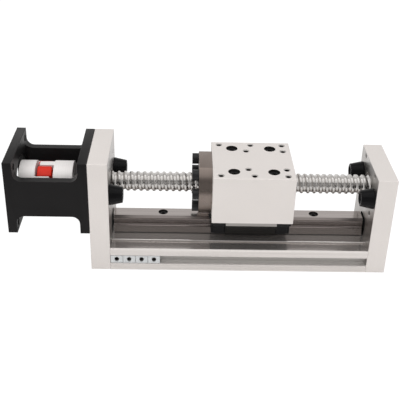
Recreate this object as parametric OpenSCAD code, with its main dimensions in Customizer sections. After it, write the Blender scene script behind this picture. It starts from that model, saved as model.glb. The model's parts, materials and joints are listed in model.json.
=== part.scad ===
// Ball screw linear module: a carriage on a profile rail, driven by a ball screw between two end plates,
// with a motor bracket and a jaw coupling at the drive end. Millimetres. X runs along the screw, the
// motor end at -X, and Z is up. The origin is on the base's underside, midway between the end plates.

/* [Module] */
// Width of the base, the end plates, the carriage and the bracket
module_w = 60; // [58:1:80]
// Clear distance between the end plates
span = 200; // [180:10:500]
// Height of the base profile at the rail seat
base_h = 20; // [19:0.5:30]
// Thickness of each end plate
plate_t = 15; // [15:0.5:25]
// Height of the screw axis above the guide block
axis_rise = 19; // [18:0.5:30]
// Small bevel on the edges of the plates, the carriage and the bracket
edge_bevel = 0.4; // [0.2:0.1:0.8]

/* [Base] */
// Width of the T-slot opening
slot_w = 7; // [5:0.1:8.4]
// Height of the T-slot's centre above the underside
slot_z = 9.8; // [9:0.1:10.5]
// Thickness of the lips on each side of the opening
slot_lip = 1.8; // [1.5:0.1:3]
// Width of the T-slot behind the lips
slot_inner_w = 11.4; // [9.5:0.1:12]
// Depth of the T-slot from the side face
slot_depth = 6.2; // [5.5:0.1:7]
// Half the width of the raised rail seat
seat_half_w = 17.3; // [13:0.1:20]
// Depth of the channel on each side of the rail seat
channel_depth = 1.3; // [0.8:0.1:2]
// Width of the lip outside each channel
channel_lip = 1.1; // [0.8:0.1:3]
// Number of T-nuts waiting in the front slot
t_nut_count = 4; // [0:1:8]
// Length of one T-nut
t_nut_l = 9.4; // [8:0.1:14]

/* [Rail] */
// Width of the rail
rail_w = 15; // [15:0.5:18]
// Height of the rail
rail_h = 15; // [14.6:0.1:15.6]
// Width of the flat on top of the rail
rail_top_w = 10.6; // [10:0.1:12]
// Gap between each end of the rail and its plate
rail_gap = 1.5; // [0.5:0.1:4]
// Distance between the rail's fixing holes
rail_pitch = 60; // [40:5:90]

/* [Guide block] */
// Height from the rail seat to the top of the block
block_rise = 24; // [23.5:0.1:27]
// Gap between the rail seat and the block's underside
block_gap = 4.3; // [3.8:0.1:5]
// Width of the block's flange
block_w = 47; // [46:0.5:52]
// Width of the block below its flange
block_body_w = 34; // [33:0.5:38]
// Thickness of the block's flange
block_flange_t = 8.9; // [7:0.1:10]
// Length of the steel body
block_body_l = 39.4; // [39:0.1:60]
// Length of each plastic end cap
block_cap_l = 9; // [7:0.5:12]
// Thickness of each end seal
block_seal_t = 2; // [1.5:0.1:3]

/* [Carriage] */
// Length of the carriage block
carriage_l = 62; // [60:1:90]
// Position of the carriage's middle
carriage_x = 8.4; // [-20:0.1:20]
// Spacing along X of the screws that hold the guide block
block_hole_x = 30; // [30:0.5:40]
// Spacing along Y of the screws that hold the guide block
block_hole_y = 38; // [38:0.5:40]
// Spacing of the outer tapped holes, along X and along Y
top_hole_pitch = 50; // [48:1:54]
// Spacing along X of the inner tapped holes
inner_hole_x = 29; // [28:0.5:30]
// Spacing along Y of the inner tapped holes
inner_hole_y = 30; // [29.5:0.5:31]

/* [Ball screw] */
// Outside diameter of the screw's thread
screw_d = 15.5; // [15:0.1:16]
// Lead of the thread
lead = 5; // [4.6:0.1:6]
// Diameter of the balls in the nut
nut_ball_d = 3.175; // [2.6:0.025:3.2]
// Diameter of the nut's body
nut_d = 28; // [26:0.5:29]
// Length of the nut with its flange
nut_l = 50; // [44:1:56]
// Diameter of the nut's flange
nut_flange_d = 48; // [47:0.5:50]
// Thickness of the nut's flange
nut_flange_t = 10; // [8:0.5:12]
// Distance between the two flats of the flange
nut_flat = 40; // [39:0.5:44]
// Diameter of the circle of the nut's screws
nut_pcd = 38; // [37.5:0.1:39]
// Diameter of the journal in the drive bearing
drive_journal_d = 12; // [10:0.5:12]
// Diameter of the journal in the coupling and in the idle bearing
end_journal_d = 10; // [8:0.5:10]

/* [Bearings] */
// Outside diameter of the drive bearing
drive_bearing_d = 28; // [26:0.5:30]
// Outside diameter of the idle bearing
idle_bearing_d = 26; // [24:0.5:28]
// Width of both bearings
bearing_w = 8; // [7:0.5:9]
// Depth of the shoulder in front of each bearing
shoulder_t = 3.5; // [2.5:0.1:5]
// Diameter of the clearance hole for the screw in each plate
screw_clear_d = 20; // [18:0.5:22]
// Spacing of the four small tapped holes around the screw axis
cover_pitch = 33; // [31:0.5:34]

/* [Motor bracket] */
// Height of the bracket's flanges
bracket_h = 60; // [58:1:64]
// Length of the bracket
bracket_l = 61.4; // [60.4:0.5:80.4]
// Thickness of each flange
bracket_flange_t = 7; // [6:0.5:10]
// Thickness of the front and back walls
bracket_wall_t = 6; // [4:0.5:6]
// Height of the front and back walls
bracket_wall_h = 30; // [24:1:36]
// Radius of the fillets between walls and flanges
bracket_fillet = 6; // [3:0.5:7]
// Spacing of the four motor screws
motor_pitch = 47.14; // [46.5:0.01:47.5]
// Diameter of the four holes for the motor screws
motor_hole_d = 5.5; // [5.4:0.1:6.4]
// Diameter of the pilot bore for the motor
pilot_d = 38.2; // [36:0.1:39]

/* [Coupling] */
// Diameter of the coupling
coupling_d = 30; // [28:0.5:32]
// Length of the screw hub without its jaws
screw_hub_l = 14.8; // [13.5:0.1:15]
// Length of the motor hub without its jaws
motor_hub_l = 12.3; // [12:0.1:14]
// Length of the space that the jaws and the spider share
jaw_l = 13.7; // [11:0.1:14]
// Distance from the drive plate to the screw hub
hub_gap = 13.6; // [13:0.1:15]
// Diameter of the motor shaft
motor_shaft_d = 8; // [5:0.05:10]

/* [Rubber stops] */
// Diameter of each stop at its plate
stop_d = 16; // [12:0.5:16]
// Diameter of each stop at its tip
stop_tip_d = 12.6; // [9:0.2:13]
// Length of each stop
stop_l = 10.3; // [8:0.1:14]

/* [Fits] */
// Gap between a screw or stud and the hole that it is in
hole_gap = 0.05; // [0.02:0.01:0.1]
// Radial gap between a bearing ring and its seat
seat_gap = 0.02; // [0.01:0.01:0.05]
// Gap round each rolling ball
ball_gap = 0.12; // [0.08:0.01:0.2]
// Gap between a seal and the part that slides through it
seal_gap = 0.3; // [0.2:0.05:0.4]

/* [Hidden] */
$fn = 48;
cut = 1;                  // how far a cutting solid stands out past the face that it opens
axis_z = base_h + block_rise + axis_rise;
carriage_z0 = base_h + block_rise;
carriage_z1 = axis_z + nut_flat / 2;
drive_plate_h = axis_z + bracket_h / 2;
plate_in = span / 2;      // X of the plates' inner faces
plate_out = plate_in + plate_t;
side_y = module_w / 2;    // Y of the back faces
carriage_x0 = carriage_x - carriage_l / 2;
aluminium = [0.86, 0.85, 0.83];
steel = [0.66, 0.64, 0.62];
dark_steel = [0.20, 0.20, 0.21];
black = [0.10, 0.10, 0.11];

// Socket screws: [thread, head diameter, head height, hexagon across flats]
m2 = [2, 3.8, 1.6, 1.5];
m4 = [4, 7, 4, 3];
m5 = [5, 8.5, 5, 4];
m6 = [6, 10, 6, 5];
// Countersunk screws: [thread, head diameter, head height, hexagon across flats]
m4_sunk = [4, 8, 2.2, 2.5];
m5_sunk = [5, 9.4, 2.7, 3];
tap_d = 3.4;              // tapping drill of the small threaded holes
tap_mouth_d = 5.2;        // countersink at their mouths
tap_mouth = 0.5;          // depth of the countersink
tap_depth = 10;
head_room = 0.3;          // radial room round a sunk screw head

// Base and rail
port_y = 13;              // the profile's lengthwise ports take the end plate screws
port_sink = 6.5;
end_screw_l = 25;
rail_screw_l = 16;
rail_sink_d = 7.5;
rail_sink = 5.3;
rail_hole_d = 4.5;
chamber_y = 6.2;
chamber_w = 4.6;
chamber_h = 9;
t_nut_gap = 0.2;
t_nut_pitch = t_nut_l + t_nut_gap;
t_nut_plate_t = 3.2;
rail_z = base_h;
rail_l = span - 2 * rail_gap;
rail_holes = 2 * floor((rail_l / 2 - rail_sink_d) / rail_pitch) + 1;
rail_xs = [for (i = [0 : rail_holes - 1]) (i - (rail_holes - 1) / 2) * rail_pitch];
rail_ball_r = 1.5;
rail_groove_r = rail_ball_r + ball_gap;
groove_y = rail_w / 2 + 0.4;
groove_zs = [rail_z + 0.53 * rail_h, rail_z + 0.81 * rail_h];
waist_y = rail_w / 2 - 0.8;
rail_room = 0.7;          // gap between the rail and the steel body of the block

// Guide block and carriage
block_z0 = rail_z + block_gap;
block_l = block_body_l + 2 * (block_cap_l + block_seal_t);
cap_drop = 0.8;           // how far the caps stay inside the block's outline
strip_h = 2.2;            // ground strip along the flange's upper edge
strip_step = 0.3;
return_y = 12.6;
return_r = 1.7;
cap_screw_y = 12;
cap_screw_z = carriage_z0 - 0.5 * block_flange_t;
carriage_sink = 7;
carriage_screw_l = 40;
nut_screw_l = 16;
nut_pocket = nut_l - nut_flange_t + 2;
nut_angles = [-45, 0, 45, 135, 180, 225];

// Ball screw and nut
crest_r = screw_d / 2;
nut_ball_r = nut_ball_d / 2;
ball_circle_r = crest_r + 0.5;
groove_r = nut_ball_r + ball_gap;
thread_x0 = -plate_in - shoulder_t;
thread_x1 = plate_in + shoulder_t;
screw_turn = 145;         // turn of the screw at rest, from +Y towards +Z
helix_steps = 16;         // columns of the thread's surface in one turn
groove_steps = 5;         // facets across the groove
fade_steps = 8;           // columns over which the groove runs out at each end
wiper_t = 3;
wiper_d = 22;
nut_bore_r = crest_r + 0.45;
nut_turns = 3;
balls_per_turn = 14;
nut_x0 = carriage_x0 - nut_flange_t;

// Bearings
ring_wall = 2.1;
cage_t = 1.2;
lock_nut_d = 22;
lock_nut_t = 8;
cover_t = 3.5;
cover_half = cover_pitch / 2 + 5;
cover_bore_d = drive_bearing_d - 3.4;
cover_corner = 3;         // cut off each corner, clear of the bracket's screws
cover_screw_l = 12;
clip_t = 1.2;
clip_sink = 0.8;
drive_bearing_x = thread_x0 - bearing_w;
idle_bearing_x = thread_x1;
idle_pocket_x = thread_x1;

// Bracket, coupling and stops
bracket_x0 = -plate_out - bracket_l;
hollow_r = 4;
bracket_screw_l = 16;
hub_x1 = -plate_out - hub_gap;
jaw_x1 = hub_x1 - screw_hub_l;
jaw_x0 = jaw_x1 - jaw_l;
hub_x0 = jaw_x0 - motor_hub_l;
jaw_angle = 21;
jaw_tip_gap = 2.9;
spider_angle = 60 - jaw_angle - 1.6;
spider_sink = 0.8;        // how far the lobes stay inside the coupling's diameter
spider_end_gap = 1.4;     // between the lobes and each hub
spider_core_r = 9;
jaw_in_r = spider_core_r + 0.4;
screw_hub_phase = 92;     // middle of the screw hub's first jaw, from +Y towards +Z
clamp_y = 9.6;
clamp_gap = 1.2;
clamp_head = 3;           // from the slit's middle to the screw's head
clamp_screw_l = 12;
clamp_angle = 250;
stop_y = side_y - stop_d / 2 - 0.5;
stop_rim = 2.3;           // rim round the shallow recess in each tip
stop_recess = 1.2;
stud_in = 8;
stud_out = 5;

// ---------- helpers ----------

// Cylinder along +X from x0 to x1 about the line y, z
module rod_x(x0, x1, r, y = 0, z = axis_z) {
    translate([x0, y, z])
        rotate([0, 90, 0])
            cylinder(h = x1 - x0, r = r);
}

// Ring along X
module ring_x(x0, x1, r, bore_r) {
    difference() {
        rod_x(x0, x1, r);
        rod_x(x0 - cut, x1 + cut, bore_r);
    }
}

// Extrudes a shape drawn as (y, z) along X
module extrude_x(x0, x1) {
    translate([x0, 0, 0])
        rotate([90, 0, 90])
            linear_extrude(height = x1 - x0)
                children();
}

// Extrudes a shape drawn as (x, z) along the whole width, in Y
module extrude_y(y0, y1) {
    translate([0, y1, 0])
        rotate([90, 0, 0])
            linear_extrude(height = y1 - y0)
                children();
}

// Rectangle w by h from the origin, with its corners cut off by b
module cut_rect(w, h, b = edge_bevel) {
    polygon([[b, 0], [w - b, 0], [w, b], [w, h - b], [w - b, h], [b, h], [0, h - b], [0, b]]);
}

// Box from one corner to the other with all its edges bevelled
module bevelled_box(p0, p1) {
    size = p1 - p0;
    intersection() {
        extrude_x(p0[0], p1[0])
            translate([p0[1], p0[2]])
                cut_rect(size[1], size[2]);
        extrude_y(p0[1], p1[1])
            translate([p0[0], p0[2]])
                cut_rect(size[0], size[2]);
        translate([p0[0], p0[1], p0[2]])
            linear_extrude(height = size[2])
                cut_rect(size[0], size[1]);
    }
}

// Rectangle with round corners, from its corner at the origin
module round_rect(l, w, r) {
    translate([r, 0])
        square([l - 2 * r, w]);
    translate([0, r])
        square([l, w - 2 * r]);
    for (x = [r, l - r], y = [r, w - r])
        translate([x, y])
            circle(r);
}

// Socket screw: head on +Z above the origin, thread below it
module socket_screw(size, l) {
    difference() {
        union() {
            cylinder(h = size[2], d = size[1]);
            translate([0, 0, -l])
                cylinder(h = l, d = size[0]);
        }
        translate([0, 0, size[2] * 0.45])
            cylinder(h = size[2], d = size[3] / cos(30), $fn = 6);
    }
}

// Hole for a screw: clearance or thread below the origin, room for the head above it
module screw_hole(size, l, sink) {
    translate([0, 0, -l])
        cylinder(h = l + cut, r = size[0] / 2 + hole_gap);
    cylinder(h = sink + cut, r = size[1] / 2 + head_room);
}

// Countersunk screw: top of the head at the origin, thread below it
module sunk_screw(size, l) {
    difference() {
        union() {
            translate([0, 0, -l])
                cylinder(h = l, d = size[0]);
            translate([0, 0, -size[2]])
                cylinder(h = size[2], d1 = size[0], d2 = size[1]);
        }
        translate([0, 0, -size[2] * 0.8])
            cylinder(h = size[2], d = size[3] / cos(30), $fn = 6);
    }
}

// Through hole of radius r for a countersunk screw, in a wall t thick
module sunk_hole(size, t, r) {
    translate([0, 0, -t - cut])
        cylinder(h = t + 2 * cut, r = r);
    translate([0, 0, -size[2]])
        cylinder(h = size[2] + 0.01, r1 = r, r2 = size[1] / 2 + hole_gap);
}

// Small tapped hole with a countersunk mouth, from a face down -Z
module tapped_hole(depth = tap_depth) {
    translate([0, 0, -depth])
        cylinder(h = depth + cut, d = tap_d);
    translate([0, 0, -tap_mouth])
        cylinder(h = tap_mouth + 0.01, d1 = tap_d, d2 = tap_mouth_d);
}

// Places children with +Z turned to +X (side = 1) or to -X (side = -1) at the given point
module facing(side, x, y, z) {
    translate([x, y, z])
        rotate([0, side * 90, 0])
            children();
}

module at_corners(pitch_y, pitch_z, side, x) {
    for (sy = [-1, 1], sz = [-1, 1])
        facing(side, x, sy * pitch_y / 2, axis_z + sz * pitch_z / 2)
            children();
}

module at_nut_screws(x) {
    for (a = nut_angles)
        facing(-1, x, nut_pcd / 2 * cos(a), axis_z + nut_pcd / 2 * sin(a))
            children();
}

module at_block_screws(z) {
    for (sx = [-1, 1], sy = [-1, 1])
        translate([carriage_x + sx * block_hole_x / 2, sy * block_hole_y / 2, z])
            children();
}

// ---------- base, rail and plates ----------

// T-slot drawn as (y, z), with its mouth on +Y at the side face and its middle at z = 0
module slot_outline() {
    bevel = 1.6;
    polygon([
        [side_y + cut, -slot_w / 2],
        [side_y - slot_lip, -slot_w / 2],
        [side_y - slot_lip, -slot_inner_w / 2],
        [side_y - slot_depth + bevel, -slot_inner_w / 2],
        [side_y - slot_depth, -slot_inner_w / 2 + bevel],
        [side_y - slot_depth, slot_inner_w / 2 - bevel],
        [side_y - slot_depth + bevel, slot_inner_w / 2],
        [side_y - slot_lip, slot_inner_w / 2],
        [side_y - slot_lip, slot_w / 2],
        [side_y + cut, slot_w / 2]
    ]);
}

module base_outline() {
    difference() {
        translate([-side_y, 0])
            cut_rect(module_w, base_h);
        for (s = [0, 1])
            mirror([s, 0]) {
                translate([0, slot_z])
                    slot_outline();
                translate([seat_half_w, base_h - channel_depth])
                    square([side_y - channel_lip - seat_half_w, channel_depth + cut]);
                translate([port_y, slot_z])
                    circle(r = m6[0] / 2 + hole_gap);
                translate([chamber_y - chamber_w / 2, slot_z - chamber_h / 2])
                    square([chamber_w, chamber_h]);
            }
    }
}

module base_profile() {
    color(aluminium)
        difference() {
            extrude_x(-plate_in, plate_in)
                base_outline();
            for (x = rail_xs)
                translate([x, 0, base_h - (rail_screw_l - (rail_h - rail_sink)) - cut])
                    cylinder(h = base_h, d = m4[0] + 2 * hole_gap);
        }
}

module rail_outline() {
    top_z = rail_z + rail_h;
    shoulder_z = top_z - (rail_w - rail_top_w) / 2;
    difference() {
        polygon([
            [-rail_w / 2, rail_z], [rail_w / 2, rail_z], [rail_w / 2, shoulder_z],
            [rail_top_w / 2, top_z], [-rail_top_w / 2, top_z], [-rail_w / 2, shoulder_z]
        ]);
        for (s = [0, 1])
            mirror([s, 0]) {
                translate([waist_y, groove_zs[0]])
                    square([rail_w, groove_zs[1] - groove_zs[0]]);
                for (z = groove_zs)
                    translate([groove_y, z])
                        circle(r = rail_groove_r);
            }
    }
}

module linear_rail() {
    color(steel)
        difference() {
            extrude_x(-rail_l / 2, rail_l / 2)
                rail_outline();
            for (x = rail_xs)
                translate([x, 0, rail_z]) {
                    translate([0, 0, -cut])
                        cylinder(h = rail_h + 2 * cut, d = rail_hole_d);
                    translate([0, 0, rail_h - rail_sink])
                        cylinder(h = rail_sink + cut, d = rail_sink_d);
                }
        }
}

module rail_screws() {
    color(black)
        for (x = rail_xs)
            translate([x, 0, rail_z + rail_h - rail_sink])
                socket_screw(m4, rail_screw_l);
}

module t_nut() {
    neck_w = slot_w - 2 * t_nut_gap;
    body_w = slot_inner_w - 2 * t_nut_gap;
    body_y = side_y - slot_lip - t_nut_gap / 2;
    rotate([0, 0, 180])
        difference() {
            extrude_x(-t_nut_l / 2, t_nut_l / 2)
                polygon([
                    [side_y - 0.15, slot_z - neck_w / 2],
                    [body_y, slot_z - neck_w / 2],
                    [body_y, slot_z - body_w / 2],
                    [body_y - t_nut_plate_t / 2, slot_z - body_w / 2],
                    [body_y - t_nut_plate_t, slot_z - body_w / 2 + 1.8],
                    [body_y - t_nut_plate_t, slot_z + body_w / 2 - 1.8],
                    [body_y - t_nut_plate_t / 2, slot_z + body_w / 2],
                    [body_y, slot_z + body_w / 2],
                    [body_y, slot_z + neck_w / 2],
                    [side_y - 0.15, slot_z + neck_w / 2]
                ]);
            translate([0, side_y, slot_z])
                rotate([-90, 0, 0])
                    tapped_hole();
        }
}

module t_nuts() {
    color([0.78, 0.79, 0.80])
        for (i = [0 : 1 : t_nut_count - 1])
            translate([-plate_in + t_nut_gap + t_nut_l / 2 + i * t_nut_pitch, 0, 0])
                t_nut();
}

// What both plates share. side is -1 for the drive end and 1 for the idle end.
module end_plate(side, h, pocket_r, pocket_depth) {
    x_in = side * plate_in;
    x_out = side * plate_out;
    difference() {
        bevelled_box([min(x_in, x_out), -side_y, 0], [max(x_in, x_out), side_y, h]);
        rod_x(min(x_in, x_out) - cut, max(x_in, x_out) + cut, screw_clear_d / 2);
        facing(side, x_out, 0, axis_z)
            translate([0, 0, -pocket_depth])
                cylinder(h = pocket_depth + cut, r = pocket_r);
        for (s = [-1, 1]) {
            facing(side, x_out - side * port_sink, s * port_y, slot_z)
                screw_hole(m6, plate_t, port_sink);
            facing(-side, x_in, s * stop_y, axis_z)
                translate([0, 0, -stud_in - cut])
                    cylinder(h = stud_in + 2 * cut, r = m5[0] / 2 + hole_gap);
        }
        children();
    }
}

module drive_end_plate() {
    color(aluminium)
        end_plate(-1, drive_plate_h, drive_bearing_d / 2 + seat_gap, plate_t - shoulder_t) {
            facing(-1, -plate_out + cover_t, 0, axis_z)
                rotate([0, 0, 90])
                    linear_extrude(height = cover_t + cut)
                        cover_outline(hole_gap);
            at_corners(cover_pitch, cover_pitch, -1, -plate_out)
                translate([0, 0, -plate_t - cut])
                    cylinder(h = plate_t + 2 * cut, r = m4[0] / 2 + hole_gap);
            at_corners(motor_pitch, motor_pitch, -1, -plate_out)
                translate([0, 0, bracket_flange_t - bracket_screw_l - cut])
                    cylinder(h = bracket_screw_l, r = m5[0] / 2 + hole_gap);
        }
}

module idle_end_plate() {
    color(aluminium)
        end_plate(1, carriage_z1, idle_bearing_d / 2 + seat_gap, plate_t - shoulder_t) {
            at_corners(cover_pitch, cover_pitch, -1, plate_in)
                tapped_hole(plate_t + cut);
            at_corners(cover_pitch, cover_pitch, 1, plate_out)
                tapped_hole();
            rod_x(idle_bearing_x + bearing_w, idle_bearing_x + bearing_w + clip_t,
                idle_bearing_d / 2 + clip_sink);
        }
}

module end_plate_screws() {
    color(black)
        for (side = [-1, 1], s = [-1, 1])
            facing(side, side * (plate_out - port_sink), s * port_y, slot_z)
                socket_screw(m6, end_screw_l);
}

module rubber_stops() {
    tip_round = 1;
    color(black)
        for (side = [-1, 1], s = [-1, 1])
            facing(-side, side * plate_in, s * stop_y, axis_z)
                rotate_extrude()
                    polygon([
                        [m5[0] / 2 + hole_gap, 0], [stop_d / 2, 0],
                        [stop_tip_d / 2, stop_l - tip_round],
                        [stop_tip_d / 2 - tip_round, stop_l],
                        [stop_tip_d / 2 - stop_rim, stop_l],
                        [stop_tip_d / 2 - stop_rim - 0.4, stop_l - stop_recess],
                        [0, stop_l - stop_recess], [0, stud_out], [m5[0] / 2 + hole_gap, stud_out]
                    ]);
}

module stop_studs() {
    color(steel)
        for (side = [-1, 1], s = [-1, 1])
            facing(-side, side * plate_in, s * stop_y, axis_z)
                translate([0, 0, -stud_in])
                    cylinder(h = stud_in + stud_out, d = m5[0]);
}

// ---------- bearings and what holds them ----------

// Middle radius of the balls between a ring of outside radius r and a journal of radius journal_r
function ball_path_r(r, journal_r) = (r + journal_r) / 2;
function bearing_ball_r(r, journal_r) = (r - journal_r) / 2 - ring_wall + 0.6;

module ball_track(x, path_r, track_r) {
    translate([x, 0, axis_z])
        rotate([0, 90, 0])
            rotate_extrude()
                translate([path_r, 0])
                    circle(r = track_r);
}

module outer_ring(x, r, journal_r) {
    difference() {
        ring_x(x, x + bearing_w, r, r - ring_wall);
        ball_track(x + bearing_w / 2, ball_path_r(r, journal_r),
            bearing_ball_r(r, journal_r) + ball_gap);
    }
}

module inner_ring(x, r, journal_r) {
    difference() {
        ring_x(x, x + bearing_w, journal_r + ring_wall, journal_r);
        ball_track(x + bearing_w / 2, ball_path_r(r, journal_r),
            bearing_ball_r(r, journal_r) + ball_gap);
    }
}

// Turns children so that +Z points outwards through each ball's place
module at_balls(x, r, journal_r) {
    count = floor(180 / asin((bearing_ball_r(r, journal_r) + 0.6) / ball_path_r(r, journal_r)));
    for (i = [0 : count - 1])
        translate([x + bearing_w / 2, 0, axis_z])
            rotate([i * 360 / count, 0, 0])
                translate([0, 0, ball_path_r(r, journal_r)])
                    children();
}

module ball_set(x, r, journal_r) {
    at_balls(x, r, journal_r)
        sphere(r = bearing_ball_r(r, journal_r));
}

module ball_cage(x, r, journal_r) {
    pocket_r = bearing_ball_r(r, journal_r) + ball_gap;
    half_w = pocket_r + 0.6;
    path = ball_path_r(r, journal_r);
    difference() {
        ring_x(x + bearing_w / 2 - half_w, x + bearing_w / 2 + half_w, path + cage_t / 2, path - cage_t / 2);
        at_balls(x, r, journal_r)
            translate([0, 0, -cage_t])
                cylinder(h = 2 * cage_t, r = pocket_r);
    }
}

module drive_bearing_outer_ring() {
    color(steel)
        outer_ring(drive_bearing_x, drive_bearing_d / 2, drive_journal_d / 2);
}

module drive_bearing_inner_ring() {
    color(steel)
        inner_ring(drive_bearing_x, drive_bearing_d / 2, drive_journal_d / 2);
}

module drive_bearing_balls() {
    color(steel)
        ball_set(drive_bearing_x, drive_bearing_d / 2, drive_journal_d / 2);
}

module drive_bearing_cage() {
    color(dark_steel)
        ball_cage(drive_bearing_x, drive_bearing_d / 2, drive_journal_d / 2);
}

module idle_bearing_outer_ring() {
    color(steel)
        outer_ring(idle_bearing_x, idle_bearing_d / 2, end_journal_d / 2);
}

module idle_bearing_inner_ring() {
    color(steel)
        inner_ring(idle_bearing_x, idle_bearing_d / 2, end_journal_d / 2);
}

module idle_bearing_balls() {
    color(steel)
        ball_set(idle_bearing_x, idle_bearing_d / 2, end_journal_d / 2);
}

module idle_bearing_cage() {
    color(dark_steel)
        ball_cage(idle_bearing_x, idle_bearing_d / 2, end_journal_d / 2);
}

// Eight-sided outline of the bearing retainer, grown by g
module cover_outline(g = 0) {
    a = cover_half + g;
    c = cover_corner;
    polygon([[a - c, -a], [a, c - a], [a, a - c], [a - c, a], [c - a, a], [-a, a - c], [-a, c - a], [c - a, -a]]);
}

module bearing_retainer() {
    color(aluminium)
        difference() {
            facing(-1, -plate_out + cover_t, 0, axis_z)
                rotate([0, 0, 90])
                    linear_extrude(height = cover_t)
                        cover_outline();
            rod_x(-plate_out - cut, -plate_out + cover_t + cut, cover_bore_d / 2);
            at_corners(cover_pitch, cover_pitch, -1, -plate_out)
                sunk_hole(m4_sunk, cover_t, m4[0] / 2 + hole_gap);
        }
}

module retainer_screws() {
    color(black)
        at_corners(cover_pitch, cover_pitch, -1, -plate_out)
            sunk_screw(m4_sunk, cover_screw_l);
}

// Open spring ring in a groove. The gap points down.
module circlip(x, r_out, r_in) {
    difference() {
        ring_x(x, x + clip_t - 0.1, r_out, r_in);
        translate([x - cut, -1.6, axis_z - r_out - cut])
            cube([clip_t + 2 * cut, 3.2, r_out + cut]);
    }
}

module plate_circlip() {
    color(dark_steel)
        circlip(idle_bearing_x + bearing_w + 0.05, idle_bearing_d / 2 + clip_sink - 0.1, idle_bearing_d / 2 - 1.6);
}

module shaft_circlip() {
    color(dark_steel)
        circlip(idle_bearing_x + bearing_w + 0.05, end_journal_d / 2 + 1.5, end_journal_d / 2 - clip_sink + 0.1);
}

module lock_nut() {
    color(dark_steel)
        difference() {
            rod_x(drive_bearing_x - lock_nut_t, drive_bearing_x, lock_nut_d / 2);
            rod_x(drive_bearing_x - lock_nut_t - cut, drive_bearing_x + cut,
                drive_journal_d / 2 + hole_gap);
            for (a = [0 : 90 : 270])
                translate([drive_bearing_x - lock_nut_t - cut, 0, axis_z])
                    rotate([a, 0, 0])
                        translate([0, lock_nut_d / 2 - 2, -1.6])
                            cube([lock_nut_t - 2 + cut, 4, 3.2]);
        }
}

// ---------- motor bracket and coupling ----------

// Window above or below the walls, drawn as (x, z) from the wall's edge outwards, with round inner corners
module window_outline(l, h, r) {
    translate([r, 0])
        square([l - 2 * r, h]);
    translate([0, r])
        square([l, h - r]);
    for (x = [r, l - r])
        translate([x, r])
            circle(r);
}

module motor_bracket() {
    inner_l = bracket_l - 2 * bracket_flange_t;
    inner_x0 = bracket_x0 + bracket_flange_t;
    hollow_w = module_w - 2 * bracket_wall_t;
    window_h = (bracket_h - bracket_wall_h) / 2 + cut;
    color(black)
        difference() {
            bevelled_box([bracket_x0, -side_y, axis_z - bracket_h / 2],
                [-plate_out, side_y, axis_z + bracket_h / 2]);
            translate([inner_x0, -hollow_w / 2, axis_z - bracket_h / 2 - cut])
                linear_extrude(height = bracket_h + 2 * cut)
                    round_rect(inner_l, hollow_w, hollow_r);
            for (s = [0, 1])
                translate([inner_x0, 0, axis_z])
                    mirror([0, 0, s])
                        translate([0, 0, bracket_wall_h / 2])
                            extrude_y(-side_y - cut, side_y + cut)
                                window_outline(inner_l, window_h, bracket_fillet);
            rod_x(bracket_x0 - cut, bracket_x0 + bracket_flange_t + cut, pilot_d / 2);
            rod_x(-plate_out - bracket_flange_t - cut, -plate_out + cut, pilot_d / 2);
            at_corners(motor_pitch, motor_pitch, -1, bracket_x0)
                translate([0, 0, -bracket_flange_t - cut])
                    cylinder(h = bracket_flange_t + 2 * cut, d = motor_hole_d);
            at_corners(motor_pitch, motor_pitch, -1, -plate_out - bracket_flange_t)
                sunk_hole(m5_sunk, bracket_flange_t, m5[0] / 2 + hole_gap);
        }
}

module bracket_screws() {
    color(dark_steel)
        at_corners(motor_pitch, motor_pitch, -1, -plate_out - bracket_flange_t)
            sunk_screw(m5_sunk, bracket_screw_l);
}

// Sector of a ring about the screw axis, from x0 to x1, centred on angle a
module sector_x(x0, x1, r_in, r_out, a, width) {
    steps = 6;
    intersection() {
        ring_x(x0, x1, r_out, r_in);
        translate([0, 0, axis_z])
            extrude_x(x0 - cut, x1 + cut)
                polygon(concat([[0, 0]], [for (i = [0 : steps])
                    let (t = a - width / 2 + width * i / steps)
                    1.5 * r_out * [cos(t), sin(t)]]));
    }
}

// Slit, clamp screw hole and head pocket of one hub between x0 and x1
module clamp_cut(x0, x1, bore_r) {
    r = coupling_d / 2;
    mid = (x0 + x1) / 2;
    rod_x(x0 - cut, x1 + cut, bore_r);
    translate([mid, 0, axis_z])
        rotate([clamp_angle, 0, 0]) {
            translate([-(x1 - x0) / 2 - cut, 0, -clamp_gap / 2])
                cube([x1 - x0 + 2 * cut, r + cut, clamp_gap]);
            translate([0, clamp_y, clamp_head])
                screw_hole(m4, clamp_screw_l, r);
        }
}

module clamp_screw(x0, x1) {
    translate([(x0 + x1) / 2, 0, axis_z])
        rotate([clamp_angle, 0, 0])
            translate([0, clamp_y, clamp_head])
                socket_screw(m4, clamp_screw_l);
}

module hub_body(x0, x1, bore_r) {
    difference() {
        rod_x(x0, x1, coupling_d / 2);
        clamp_cut(x0, x1, bore_r);
    }
}

module coupling_screw_hub() {
    color(aluminium) {
        hub_body(jaw_x1, hub_x1, end_journal_d / 2 + seat_gap);
        for (i = [0 : 2])
            sector_x(jaw_x0 + jaw_tip_gap, jaw_x1 + 0.5, jaw_in_r, coupling_d / 2,
                screw_hub_phase + i * 120, jaw_angle);
    }
}

module coupling_motor_hub() {
    color(aluminium) {
        hub_body(hub_x0, jaw_x0, motor_shaft_d / 2);
        for (i = [0 : 2])
            sector_x(jaw_x0 - 0.5, jaw_x1 - jaw_tip_gap, jaw_in_r, coupling_d / 2,
                screw_hub_phase + 60 + i * 120, jaw_angle);
    }
}

module coupling_spider() {
    color([0.81, 0.22, 0.18]) {
        ring_x(jaw_x0 + 1, jaw_x1 - 1, spider_core_r, 5.5);
        for (i = [0 : 5])
            sector_x(jaw_x0 + spider_end_gap, jaw_x1 - spider_end_gap,
                spider_core_r - 0.5, coupling_d / 2 - spider_sink,
                screw_hub_phase + 30 + i * 60, spider_angle);
    }
}

module coupling_clamp_screws() {
    color(dark_steel) {
        clamp_screw(jaw_x1, hub_x1);
        clamp_screw(hub_x0, jaw_x0);
    }
}

// ---------- ball screw ----------

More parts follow.
